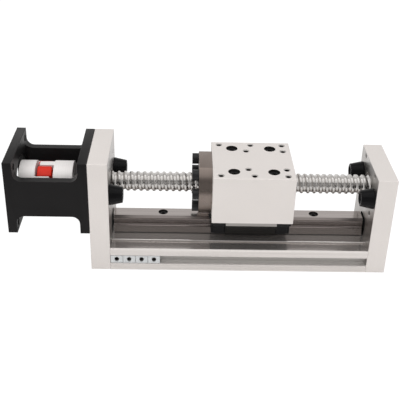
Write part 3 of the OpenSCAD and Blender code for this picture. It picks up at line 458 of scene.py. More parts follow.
def milled_plate_with_shade(name, colour):
    """Milled face, with painted shade where the rail's end stands just in front of it."""
    mat = ground_metal(name, colour, MILLED, 0.28, 0.38, contrast=2.4)
    tree = mat.node_tree
    bsdf = next(node for node in tree.nodes if node.type == "BSDF_PRINCIPLED")
    tint, film = (bsdf.inputs[label].links[0].from_socket for label in ("Base Color", "Roughness"))
    mask = rail_end_shade_mask(tree, GAP_SHADE_WIDTH)
    # painted shade: inside the mask the milled colour drops to 0.06 of itself and turns matt
    tree.links.new(mix_colour(tree, mask, tint, shade(colour, 0.06)), bsdf.inputs["Base Color"])
    tree.links.new(math_node(tree, "MAXIMUM", film, mask), bsdf.inputs["Roughness"])
    return mat


def black_anodised(name, colour):
    """Black anodising on a blasted face, grey along its edges."""
    mat, tree, bsdf = new_material(name, Specular_IOR_Level=0.16)
    grain = group(tree, "Blast grain", Scale=1500.0, Patches=0.6)
    tint = worn(tree, toned(tree, grain, colour, 0.7, 1.5), BARE_UNDER_ANODISING, 0.35 * MM, 0.5)
    link_surface(tree, bsdf, tint, oil_film(tree, 40.0, 0.36, 0.48), grain, 0.02 * MM, 0.7)
    return mat


def oxide_steel(name, colour):
    """Blackened steel of screws and spring rings."""
    mat, tree, bsdf = new_material(name, metallic=0.1, Specular_IOR_Level=0.3)
    grain = group(tree, "Blast grain", Scale=2600.0, Patches=0.8)
    tint = worn(tree, toned(tree, grain, colour, 0.7, 1.5), BARE_UNDER_OXIDE, 0.2 * MM, 0.5)
    link_surface(tree, bsdf, tint, oil_film(tree, 140.0, 0.28, 0.45), grain, 0.01 * MM, 0.6)
    return mat


def moulded(name, colour, low, high, gloss, lift=1.6, depth=0.03 * MM):
    """Moulded rubber or plastic; gloss is its specular level, lift the factor of its lightest shade."""
    mat, tree, bsdf = new_material(name, Specular_IOR_Level=gloss)
    skin = group(tree, "Mould skin", Scale=1100.0)
    tint = toned(tree, skin, colour, 0.75, lift)
    link_surface(tree, bsdf, tint, oil_film(tree, 110.0, low, high), skin, depth, 0.6)
    return mat


def build_materials(colours):
    """All finishes by name."""
    band_z = span("guide_block")[1].z - BAND_HEIGHT
    return {
        "plate": blasted_anodised("Plate anodised", colours.anodised),
        "plate_inside": milled_plate_with_shade("Plate milled inside", PLATE_INSIDE),
        "profile": extruded_anodised("Profile anodised", colours.anodised),
        # painted highlight along the profile's broken edges
        "profile_edge_highlight": extruded_anodised("Profile edge highlight", PROFILE_EDGE_HIGHLIGHT),
        "slot": blasted_anodised("Slot anodised", SLOT_ALUMINIUM, metallic=0.5, low=0.45, high=0.55),
        "hub": turned_metal("Hub turned", colours.turned, 0.42, 0.52, metallic=0.25),
        "bracket": black_anodised("Bracket anodised", colours.black_anodised),
        "rail": ground_metal("Rail ground", colours.rail_steel, ALONG_X, 0.10, 0.15, contrast=2.2,
                             spread=(0.1, 2.0, 2.0)),
        # painted shade on the rail's sides and crown slopes: darker copies of its steel
        "raceway": ground_metal("Raceway ground", RACEWAY_STEEL_SHADED, ALONG_X, 0.20, 0.28, contrast=2.4),
        "crown": ground_metal("Rail chamfer", CHAMFER_STEEL_SHADED, ALONG_X, 0.32, 0.40, contrast=2.0),
        # painted shade of the narrow gaps at the rail's ends and along its foot: a near-black copy of ground
        # steel
        "joint": ground_metal("Joint shadowed", JOINT_SHADE, SPOTTED, 0.5, 0.6),
        "screw": ground_metal("Screw ground", colours.screw_steel, (900.0, 260.0, 260.0), 0.12, 0.19,
                              metallic=0.95, contrast=0.8),
        "nut": turned_metal("Nut turned", colours.nut_steel, 0.24, 0.36, wear=0.8),
        # painted shade inside the counterbores: a dark copy of turned metal
        "bore": turned_metal("Bore shaded", BORE_WALL_SHADE, 0.30, 0.40, wear=0.0),
        "thread": ground_metal("Tapped thread", THREAD_WALL_SHADE, (30.0, 30.0, 1400.0), 0.3, 0.4),
        "block": banded_steel("Block ground", BLOCK_STEEL, BAND_STEEL, band_z),
        "milled": ground_metal("Milled face", MILLED_ALUMINIUM, MILLED, 0.28, 0.38, contrast=2.4),
        "bearing": turned_metal("Bearing polished", BEARING_STEEL, 0.10, 0.18),
        "ball": ground_metal("Ball polished", BALL_STEEL, (700.0, 700.0, 700.0), 0.05, 0.09, contrast=0.2),
        "zinc": ground_metal("Zinc plated", colours.zinc, (500.0, 500.0, 500.0), 0.28, 0.42,
                             metallic=0.8, contrast=0.7),
        "oxide": oxide_steel("Black oxide", colours.black_oxide),
        "plastic": moulded("Cap plastic", CAP_PLASTIC, 0.34, 0.50, 0.2),
        "rubber": moulded("Stop rubber", colours.rubber, 0.20, 0.28, 0.10, lift=1.5),
        "seal": moulded("Seal rubber", colours.rubber, 0.5, 0.65, 0.2, depth=0.05 * MM),
        "spider": moulded("Spider elastomer", colours.spider, 0.34, 0.46, 0.2, lift=1.18),
    }


FINISH_OF_NODE = {
    "plate": ("drive_end_plate", "idle_end_plate", "carriage_block", "bearing_retainer"),
    "profile": ("base_profile",),
    "hub": ("coupling_screw_hub", "coupling_motor_hub"),
    "bracket": ("motor_bracket",),
    "rail": ("linear_rail", "stop_studs"),
    "screw": ("ball_screw",),
    "nut": ("ball_nut",),
    "block": ("guide_block",),
    "bearing": ("drive_bearing_outer_ring", "drive_bearing_inner_ring", "idle_bearing_outer_ring",
                "idle_bearing_inner_ring"),
    "ball": ("drive_bearing_balls", "idle_bearing_balls", "nut_balls", "block_balls"),
    "zinc": ("t_nuts",),
    "oxide": ("rail_screws", "end_plate_screws", "bracket_screws", "retainer_screws", "carriage_screws",
              "block_cap_screws", "nut_screws", "coupling_clamp_screws", "lock_nut", "plate_circlip",
              "shaft_circlip"),
    "plastic": ("block_end_caps", "drive_bearing_cage", "idle_bearing_cage"),
    "seal": ("block_end_seals", "nut_wipers"),
    "rubber": ("rubber_stops",),
    "spider": ("coupling_spider",),
}
MATERIALS = {}


# ---------- finishes of single faces ----------

TAPPED_REACH = 1.8 * MM         # no wall of a tapped hole is further than this from its axis
TAPPED_DEPTH = 12.0 * MM
END_TAPPED_DEPTH = 20.0 * MM
HEAD_REACH = 4.8 * MM           # the same for the carriage's counterbores
MOUTH = 1.0 * MM                # how far a chamfered mouth may reach past its hole's wall
SLOT_REACH = 7.0 * MM           # no wall of a T-slot is deeper than this
SLOT_MARGIN = 3.0 * MM          # nor further above or below the T-nuts
RAIL_SIDE = 3.0 * MM            # the rail's shaped sides reach in no further than this
FLUSH = 0.05 * MM               # play allowed where a face counts as lying at a place


def add_finish(mesh, finish):
    """Number of a finish among a mesh's materials, added where it is missing."""
    material = MATERIALS[finish]
    if material.name not in mesh.materials:
        mesh.materials.append(material)
    return mesh.materials.find(material.name)


def hole_centres(mount):
    """Middle of each hole of a packed bolt pattern, and the pattern's axis."""
    sizes = mount["dims"]
    axis = Vector(mount["axis"])
    place = Vector(mount["pos_m"])
    upright = abs(axis.x) < 0.5
    across = Vector((1, 0, 0)) if upright else Vector((0, 1, 0))
    along = Vector((0, 1, 0)) if upright else Vector((0, 0, 1))
    half_x = sizes.get("spacing_x_mm", 0.0) * MM / 2
    half_y = sizes.get("spacing_y_mm", 0.0) * MM / 2
    return [place + across * half_x * i + along * half_y * j for i in (-1, 1) for j in (-1, 1)], axis


def head_places(node):
    """X and Y of the middle of each of four upright screws of a CAD node."""
    _low, high, middle = span(node)
    points = [p for p in world_points(node) if p.z > high.z - 0.1 * MM]
    places = []
    for i in (-1, 1):
        for j in (-1, 1):
            near = [p for p in points if (p.x - middle.x) * i > 0 and (p.y - middle.y) * j > 0]
            xs, ys = [p.x for p in near], [p.y for p in near]
            places.append(((min(xs) + max(xs)) / 2, (min(ys) + max(ys)) / 2))
    return places


def line_bores(node, centres, axis, reach, depth, finish, mouth=None):
    """Gives the walls of bores about these centres their own finish, and their chamfered mouths another.

    A wall's normal stands across the axis, a mouth's slopes, and a flat face's lies along it."""
    obj = NODES[node]
    indexes = {name: add_finish(obj.data, name) for name in (finish, mouth) if name}
    for face in obj.data.polygons:
        middle = obj.matrix_world @ face.center
        slope = abs((obj.matrix_world.to_3x3() @ face.normal).normalized().dot(axis))
        wanted = finish if slope < 0.3 else mouth if slope < 0.985 else None
        if wanted is None:
            continue
        limit = reach if wanted == finish else reach + MOUTH
        for centre in centres:
            away = middle - centre
            rise = away.dot(axis)
            if -depth < rise < FLUSH and (away - axis * rise).length < limit:
                face.material_index = indexes[wanted]
                break


def face_finish(node, direction, finish):
    """Gives the outermost flat face of a CAD node on one side its own finish."""
    obj = NODES[node]
    index = add_finish(obj.data, finish)
    outermost = max((obj.matrix_world @ v.co).dot(direction) for v in obj.data.vertices)
    for face in obj.data.polygons:
        if (obj.matrix_world @ face.center).dot(direction) > outermost - 0.02 * MM:
            face.material_index = index


# ---------- mesh helpers ----------

SAME_POINT = 0.001 * MM             # closer vertices are one
SHARP_EDGE = math.radians(30.0)     # edges of the CAD parts that are broken
SMOOTH_EDGE = math.radians(18.0)    # edges that shade smoothly after that
FLAT_ANGLE = math.radians(0.4)      # faces that differ by less become one
SHORT_EDGE = 1.5 * MM               # shorter edges, as on round holes, stay sharp
LONG_EDGE = 100.0 * MM              # edges that run along the whole profile


def link_object(name, mesh):
    """Object in the scene for a mesh."""
    obj = bpy.data.objects.new(name, mesh)
    bpy.context.scene.collection.objects.link(obj)
    return obj


def smooth_below(work, limit):
    """Smooth faces, with the edges above an angle kept sharp."""
    for edge in work.edges:
        edge.smooth = len(edge.link_faces) == 2 and edge.calc_face_angle(0.0) < limit
    for face in work.faces:
        face.smooth = True


def new_object(name, verts, faces, finish, smooth_angle):
    """Object from plain lists, with its edges kept sharp above an angle in degrees."""
    mesh = bpy.data.meshes.new(name)
    mesh.from_pydata(verts, [], faces)
    mesh.validate()
    work = bmesh.new()
    work.from_mesh(mesh)
    bmesh.ops.remove_doubles(work, verts=work.verts, dist=SAME_POINT)
    bmesh.ops.recalc_face_normals(work, faces=work.faces)
    smooth_below(work, math.radians(smooth_angle))
    work.to_mesh(mesh)
    work.free()
    mesh.materials.append(MATERIALS[finish])
    return link_object(name, mesh)


def curve_point(start, corner, end, t):
    """Point at t on the curve that leaves start towards corner and arrives at end."""
    return start * (1 - t) ** 2 + corner * 2 * t * (1 - t) + end * t ** 2


def rounded_line(points, radius, steps):
    """Line through 2-D points with its inner corners rounded."""
    done = [points[0]]
    for before, corner, after in zip(points, points[1:], points[2:]):
        a, b, c = Vector(before), Vector(corner), Vector(after)
        reach = min(radius, (a - b).length * 0.45, (c - b).length * 0.45)
        start = b + (a - b).normalized() * reach
        end = b + (c - b).normalized() * reach
        done += [tuple(curve_point(start, b, end, i / steps)) for i in range(steps + 1)]
    done.append(points[-1])
    return done


def lathe(profile, place, direction, count):
    """Vertices and faces of (distance along, radius) turned about X; direction is +1 or -1 along X."""
    verts, faces, rings = [], [], []
    for along, radius in profile:
        x = place[0] + direction * along
        if radius < SAME_POINT:
            rings.append([len(verts)] * count)
            verts.append((x, place[1], place[2]))
            continue
        rings.append(list(range(len(verts), len(verts) + count)))
        for i in range(count):
            turn = 2 * math.pi * i / count
            verts.append((x, place[1] + radius * math.cos(turn), place[2] + radius * math.sin(turn)))
    for first, second in zip(rings, rings[1:]):
        for i in range(count):
            k = (i + 1) % count
            corners = (first[i], first[k], second[k], second[i])
            face = tuple(dict.fromkeys(corners))
            if len(face) > 2:
                faces.append(face)
    return verts, faces


def join(parts):
    """One list of vertices and one of faces from several."""
    verts, faces = [], []
    for some_verts, some_faces in parts:
        shift = len(verts)
        verts.extend(some_verts)
        faces.extend(tuple(i + shift for i in face) for face in some_faces)
    return verts, faces


def outer_edge(edge):
    """True for edges long enough to be broken."""
    return edge.calc_length() > SHORT_EDGE


def any_edge(_edge):
    """True for every edge."""
    return True


def eased(node, name, width, wanted, segments=2, broken=None):
    """Copy of a CAD node with its wanted outer edges broken, which may have a finish of their own."""
    source = NODES[node]
    index = add_finish(source.data, broken) if broken else -1
    work = bmesh.new()
    work.from_mesh(source.data)
    work.transform(source.matrix_world)
    bmesh.ops.remove_doubles(work, verts=work.verts, dist=SAME_POINT)
    bmesh.ops.dissolve_limit(work, angle_limit=FLAT_ANGLE, verts=work.verts, edges=work.edges,
                             delimit={"MATERIAL"})
    edges = [e for e in work.edges
             if len(e.link_faces) == 2 and e.is_convex and e.calc_face_angle(0.0) > SHARP_EDGE and wanted(e)]
    bmesh.ops.bevel(work, geom=edges, offset=width, offset_type="OFFSET", segments=segments, profile=0.5,
                    affect="EDGES", clamp_overlap=False, material=index)
    bmesh.ops.dissolve_degenerate(work, dist=2 * SAME_POINT, edges=work.edges)
    smooth_below(work, SMOOTH_EDGE)
    mesh = bpy.data.meshes.new(name)
    work.to_mesh(mesh)
    work.free()
    for material in source.data.materials:
        mesh.materials.append(material)
    return link_object(name, mesh)


def place_piece(obj, body, node):
    """Parents a piece to the empty of the body it rides on, and hides the CAD node it stands for."""
    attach(obj, body)
    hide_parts(node)


# ---------- finishes ----------

class MODULE_OT_finishes(bpy.types.Operator):
    """Materials of the CAD parts, and of the faces that differ from the rest of their part"""
    bl_idname = "module.finishes"
    bl_label = "Finishes"

    def execute(self, context):
        for build in GROUP_BUILDERS:
            build()
        MATERIALS.update(build_materials(context.scene.module_colours))
        for finish, names in FINISH_OF_NODE.items():
            for name in names:
                mesh = NODES[name].data
                mesh.materials.clear()
                mesh.materials.append(MATERIALS[finish])
        self.tapped_holes()
        self.counterbores()
        self.slots()
        self.raceways()
        # the rail's end faces get painted shade, so the gaps before the plates look dark
        for direction in (1, -1):
            face_finish("linear_rail", Vector((direction, 0, 0)), "joint")
        face_finish("drive_end_plate", Vector((1, 0, 0)), "plate_inside")
        face_finish("idle_end_plate", Vector((-1, 0, 0)), "plate_inside")
        return {"FINISHED"}

    def tapped_holes(self):
        """Tapped holes have bright mouths, and walls of duller thread metal darkened further with painted
        shade.
        """
        patterns = [mount for mount in FRAME["record"]["mounts"] if mount["kind"] == "bolt_pattern"]
        for start, node, depth in (("carriage", "carriage_block", TAPPED_DEPTH),
                                   ("idle", "idle_end_plate", END_TAPPED_DEPTH)):
            for mount in patterns:
                if mount["name"].startswith(start):
                    centres, axis = hole_centres(mount)
                    line_bores(node, centres, axis, TAPPED_REACH, depth, "thread", "milled")
        low, high, middle = span("t_nuts")
        nut_width = (high.x - low.x) / 4
        nuts = [Vector((low.x + nut_width * (i + 0.5), low.y, middle.z)) for i in range(4)]
        line_bores("t_nuts", nuts, Vector((0, -1, 0)), TAPPED_REACH, TAPPED_DEPTH, "thread")

    def counterbores(self):
        """The carriage's screw holes get painted shade inside."""
        top = span("carriage_block")[1].z
        heads = [Vector((x, y, top)) for x, y in head_places("carriage_screws")]
        line_bores("carriage_block", heads, Vector((0, 0, 1)), HEAD_REACH, TAPPED_DEPTH, "bore")

    def slots(self):
        """Walls inside the T-slots are duller than the drawn faces outside."""
        obj = NODES["base_profile"]
        side = span("base_profile")[1].y
        nut_low, nut_high, _middle = span("t_nuts")
        index = add_finish(obj.data, "slot")
        for face in obj.data.polygons:
            middle = obj.matrix_world @ face.center
            deep = side - SLOT_REACH < abs(middle.y) < side - FLUSH
            level = nut_low.z - SLOT_MARGIN < middle.z < nut_high.z + SLOT_MARGIN
            if deep and level and abs(face.normal.x) < 0.5:
                face.material_index = index

    def raceways(self):
        """The rail's waist and ball grooves, and the slopes beside its crown, get painted shade: darker
        copies of the crown's steel.
        """
        obj = NODES["linear_rail"]
        high = span("linear_rail")[1]
        waist = add_finish(obj.data, "raceway")
        slope = add_finish(obj.data, "crown")
        for face in obj.data.polygons:
            middle = obj.matrix_world @ face.center
            if abs(face.normal.x) > 0.5 or abs(middle.y) < high.y - RAIL_SIDE:
                continue
            if middle.z > high.z - RAIL_CHAMFER - 2 * FLUSH:
                face.material_index = slope if face.normal.z < 0.98 else 0
            elif abs(middle.y) < high.y - 0.03 * MM:
                face.material_index = waist


# ---------- base, plates, carriage and bracket ----------

class MODULE_OT_machined(bpy.types.Operator):
    """Base profile, rail, plates, carriage, bracket, retainer and T-nuts with broken edges"""
    bl_idname = "module.machined"
    bl_label = "Machined parts"

    def execute(self, context):
        for node, name, width, body, slot in (
                ("drive_end_plate", "Drive_end_plate", 0.3 * MM, "base", "clear_aluminium"),
                ("idle_end_plate", "Idle_end_plate", 0.3 * MM, "base", "clear_aluminium"),
                ("carriage_block", "Carriage_block", 0.3 * MM, "carriage", "clear_aluminium"),
                ("motor_bracket", "Motor_bracket", 0.25 * MM, "base", "black_aluminium"),
                ("bearing_retainer", "Bearing_retainer", 0.3 * MM, "base", "clear_aluminium"),
                ("t_nuts", "T_nuts", 0.2 * MM, "base", "zinc_steel")):
            place_piece(eased(node, name, width, outer_edge), body, node)
        foot = span("linear_rail")[0].z

        def along_profile(edge):
            return edge.calc_length() > LONG_EDGE

        def rail_foot(edge):
            return all(abs(v.co.z - foot) < 0.01 * MM for v in edge.verts)

        # the broken long edges get a lighter finish as a painted highlight
        base = eased("base_profile", "Base_profile", 0.4 * MM, along_profile, broken="profile_edge_highlight")
        place_piece(base, "base", "base_profile")
        # the rail's foot chamfer gets painted shade: a dark line where the rail meets the base
        rail = eased("linear_rail", "Linear_rail", 0.6 * MM, rail_foot, 1, "joint")
        place_piece(rail, "base", "linear_rail")
        return {"FINISHED"}


# ---------- guide block and nut ----------

class MODULE_OT_carriers(bpy.types.Operator):
    """Ball nut, guide block and its moulded end caps with broken edges"""
    bl_idname = "module.carriers"
    bl_label = "Nut and guide block"

    def execute(self, context):
        for node, name, width, slot in (
                ("ball_nut", "Ball_nut", 0.35 * MM, "ground_steel"),
                ("guide_block", "Guide_block", 0.2 * MM, "dark_steel"),
                ("block_end_caps", "Block_end_caps", 0.5 * MM, "black_plastic")):
            place_piece(eased(node, name, width, outer_edge), "carriage", node)
        return {"FINISHED"}


# ---------- coupling ----------

class MODULE_OT_coupling(bpy.types.Operator):
    """Jaw coupling: two turned hubs and the rounded elastic spider between them"""
    bl_idname = "module.coupling"
    bl_label = "Coupling"

    def execute(self, context):
        for node, name, width, segments, slot in (
                ("coupling_screw_hub", "Coupling_screw_hub", 0.3 * MM, 2, "turned_aluminium"),
                ("coupling_motor_hub", "Coupling_motor_hub", 0.3 * MM, 2, "turned_aluminium"),
                ("coupling_spider", "Coupling_spider", 1.0 * MM, 4, "red_elastomer")):
            place_piece(eased(node, name, width, any_edge, segments), "screw", node)
        return {"FINISHED"}


# ---------- ball screw ----------

THREAD_COLUMNS = 60             # columns of the thread in one turn, and sides of the journals that close it
GROOVE_STEPS = 12               # points on half of the groove's arc
CREST_STEPS = 5                 # points on the rounding beside it
FULL_CREST = 0.3 * MM           # plain crest at each end of the thread
RUN_OUT = 4.0 * MM              # length over which the groove then gets its full depth
THREAD_CHAMFER = 0.4 * MM
END_CHAMFER = 0.5 * MM
END_JOURNAL = 4.98 * MM         # radius of both narrow ends
DRIVE_JOURNAL = 5.98 * MM       # radius where the drive bearing sits
CONE_LENGTH = 0.8 * MM          # small cone that leads up to the drive journal's shoulder
CONE_RISE = 0.2 * MM
SHOULDER_CHAMFER = 0.3 * MM
CENTRE_RADIUS = 1.4 * MM        # centre hole in each end
CENTRE_DEPTH = 1.8 * MM
CLIP_GROOVE = 0.8 * MM          # depth of the spring ring's groove
CLIP_GAP = 0.05 * MM


def thread_phase(lead, height):
    """Angle of the groove's middle at x = 0 and the thread's two ends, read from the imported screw."""
    points = [(p.x, p.y, p.z - height) for p in world_points("ball_screw")]
    crest = max(math.hypot(y, z) for _x, y, z in points)
    crest_xs = [x for x, y, z in points if math.hypot(y, z) > crest - 0.01 * MM]
    low, high = min(crest_xs), max(crest_xs)
    inner = [p for p in points if low + 2 * RUN_OUT < p[0] < high - 2 * RUN_OUT]
    bottom = min(math.hypot(y, z) for _x, y, z in inner)
    east = north = 0.0
    for x, y, z in inner:
        if math.hypot(y, z) < bottom + 0.01 * MM:
            angle = math.atan2(z, y) - 2 * math.pi * x / lead
            east += math.cos(angle)
            north += math.sin(angle)
    return math.atan2(north, east), low, high


def groove_profile(sizes):
    """Profile over one lead from groove middle to groove middle: (distance, radius), crest edges rounded."""
    radius, circle, crest = sizes.groove_radius, sizes.ball_circle, sizes.crest_radius
    half = math.acos((circle - crest) / radius)
    turns = [half * i / GROOVE_STEPS for i in range(GROOVE_STEPS + 1)]
    arc = [Vector((radius * math.sin(turn), circle - radius * math.cos(turn))) for turn in turns]
    lip = arc[-1].x
    rise = [point for point in arc if point.x < lip - 0.55 * sizes.crest_round]
    start, corner, end = rise[-1], Vector((lip, crest)), Vector((lip + sizes.crest_round, crest))
    rise += [curve_point(start, corner, end, i / CREST_STEPS) for i in range(1, CREST_STEPS + 1)]
    fall = [(sizes.lead - x, r) for x, r in reversed(rise)]
    return [tuple(point) for point in rise] + fall[:-1]


def thread_mesh(sizes, phase, height, x0, x1):
    """Helical ball groove between two flat ends; the groove runs out to the crest at both ends."""
    profile = groove_profile(sizes)
    lead, crest = sizes.lead, sizes.crest_radius
    total = (int((x1 - x0) / lead) + 3) * THREAD_COLUMNS
    first_turn = math.floor((phase + 2 * math.pi * x0 / lead) / (2 * math.pi)) - 1
    verts, faces, columns = [], [], []
    for j in range(total + 1):
        angle = 2 * math.pi * (first_turn + j / THREAD_COLUMNS)
        middle = (angle - phase) / (2 * math.pi) * lead
        columns.append(range(len(verts), len(verts) + len(profile)))
        for along, r in profile:
            x = middle + along
            nearest_end = min(x - x0, x1 - x) - FULL_CREST
            depth = max(0.0, min(1.0, nearest_end / RUN_OUT))
            radius = crest - depth * depth * (3 - 2 * depth) * (crest - r)
            x = min(max(x, x0), x1)
            verts.append((x, radius * math.cos(angle), height + radius * math.sin(angle)))
    for j, (here, there) in enumerate(zip(columns, columns[1:])):
        for k in range(len(profile) - 1):
            faces.append((here[k], there[k], there[k + 1], here[k + 1]))
        turn_on = j + THREAD_COLUMNS
        if turn_on < total:
            faces.append((here[-1], there[-1], columns[turn_on + 1][0], columns[turn_on][0]))

    def squeezed(face):
        """True for faces that lie beyond an end and were moved onto it."""
        return any(all(abs(verts[i][0] - end) < 1e-9 for i in face) for end in (x0, x1))

    return verts, [face for face in faces if not squeezed(face)]


class MODULE_OT_screw(bpy.types.Operator):
    """Ball screw with a smooth raceway, run-outs and chamfered journals"""
    bl_idname = "module.screw"
    bl_label = "Ball screw"

    def execute(self, context):
        sizes = context.scene.module_sizes
        height, crest = axis_height(), sizes.crest_radius
        phase, x0, x1 = thread_phase(sizes.lead, height)
        low, high, _middle = span("ball_screw")
        nut_end = span("lock_nut")[0].x
        clip_low, clip_high, _clip = span("shaft_circlip")
        groove_low, groove_high = clip_low.x - CLIP_GAP, clip_high.x + CLIP_GAP
        drive_end = [
            (low.x + CENTRE_DEPTH, 0.0), (low.x, CENTRE_RADIUS), (low.x, END_JOURNAL - END_CHAMFER),
            (low.x + END_CHAMFER, END_JOURNAL), (nut_end - CONE_LENGTH, END_JOURNAL),
            (nut_end, END_JOURNAL + CONE_RISE), (nut_end, DRIVE_JOURNAL - SHOULDER_CHAMFER),
            (nut_end + SHOULDER_CHAMFER, DRIVE_JOURNAL), (x0, DRIVE_JOURNAL), (x0, crest - THREAD_CHAMFER),
            (x0 + THREAD_CHAMFER, crest)]
        idle_end = [
            (x1 - THREAD_CHAMFER, crest), (x1, crest - THREAD_CHAMFER), (x1, END_JOURNAL),
            (groove_low, END_JOURNAL), (groove_low, END_JOURNAL - CLIP_GROOVE),
            (groove_high, END_JOURNAL - CLIP_GROOVE), (groove_high, END_JOURNAL),
            (high.x - END_CHAMFER, END_JOURNAL), (high.x, END_JOURNAL - END_CHAMFER),
            (high.x, CENTRE_RADIUS), (high.x - CENTRE_DEPTH, 0.0)]
        parts = [lathe(profile, (0, 0, height), 1, THREAD_COLUMNS) for profile in (drive_end, idle_end)]
        parts.append(thread_mesh(sizes, phase, height, x0 + THREAD_CHAMFER, x1 - THREAD_CHAMFER))
        screw = new_object("Ball_screw", *join(parts), "screw", 40.0)
        place_piece(screw, "screw", "ball_screw")
        return {"FINISHED"}


# ---------- rubber stops ----------

STOP_SIDES = 56
STOP_ROOT = 0.9 * MM            # straight part against the plate
STOP_RIM = 1.2 * MM             # width of the ring around the dished end
STOP_ROUNDING = 0.6 * MM
TIP_LENGTH = 0.2 * MM           # last, steeper part of the taper
TIP_RISE = 0.75 * MM
DISH_SLOPE = 0.5 * MM           # how much narrower the dish is at its bottom


class MODULE_OT_stops(bpy.types.Operator):
    """Four tapered rubber stops with a dished tip"""
    bl_idname = "module.stops"
    bl_label = "Rubber stops"

    def execute(self, context):
        recess = context.scene.module_sizes.stop_recess
        drive_face, idle_face = span("drive_end_plate")[1].x, span("idle_end_plate")[0].x
        one_stop = [p for p in world_points("rubber_stops") if p.x < 0 and p.y < 0]
        tip = max(p.x for p in one_stop)
        root_ys = [p.y for p in one_stop if abs(p.x - drive_face) < 0.01 * MM]
        tip_ys = [p.y for p in one_stop if abs(p.x - tip) < 0.01 * MM]
        big, small = ((max(ys) - min(ys)) / 2 for ys in (root_ys, tip_ys))
        offset = abs(max(root_ys) + min(root_ys)) / 2
        length = tip - drive_face
        dish = small - STOP_RIM
        profile = rounded_line([
            (0.0, 0.0), (0.0, big), (STOP_ROOT, big), (length - TIP_LENGTH, small + TIP_RISE),
            (length, small), (length, dish), (length - recess, dish - DISH_SLOPE),
            (length - recess, 0.0)], STOP_ROUNDING, 4)
        parts = [lathe(profile, (face, side * offset, axis_height()), direction, STOP_SIDES)
                 for face, direction in ((drive_face, 1), (idle_face, -1)) for side in (-1, 1)]
        stops = new_object("Rubber_stops", *join(parts), "rubber", 60.0)
        place_piece(stops, "base", "rubber_stops")
        return {"FINISHED"}


# ---------- stage ----------

GLOSS_ARC = (       # what gloss sees from the back horizon (0) over the top (0.5) to the front horizon (1)
    (0.0, 0.50), (0.16, 0.40), (0.36, 0.30), (0.43, 0.32), (0.45, 0.85), (0.48, 0.85), (0.50, 0.32),
    (0.53, 0.60), (0.62, 0.48), (0.72, 0.44), (0.78, 0.10), (0.84, 0.08), (0.91, 0.17), (1.0, 0.12))
GLOSS_LEVEL = 2.0
SIDE_GLOSS = (0.85, 0.85, 0.85, 1.0)
WHITE = (1.0, 1.0, 1.0, 1.0)
WARM_WHITE = (1.0, 0.985, 0.975, 1.0)
SOFTBOX_PLACE = (-0.1, -0.02, 0.95)
SOFTBOX_SIZE = (1.7, 0.80)
FLOOR_SIDE, FLOOR_FRONT = 4.0, 0.25     # the floor ends a little in front of the module


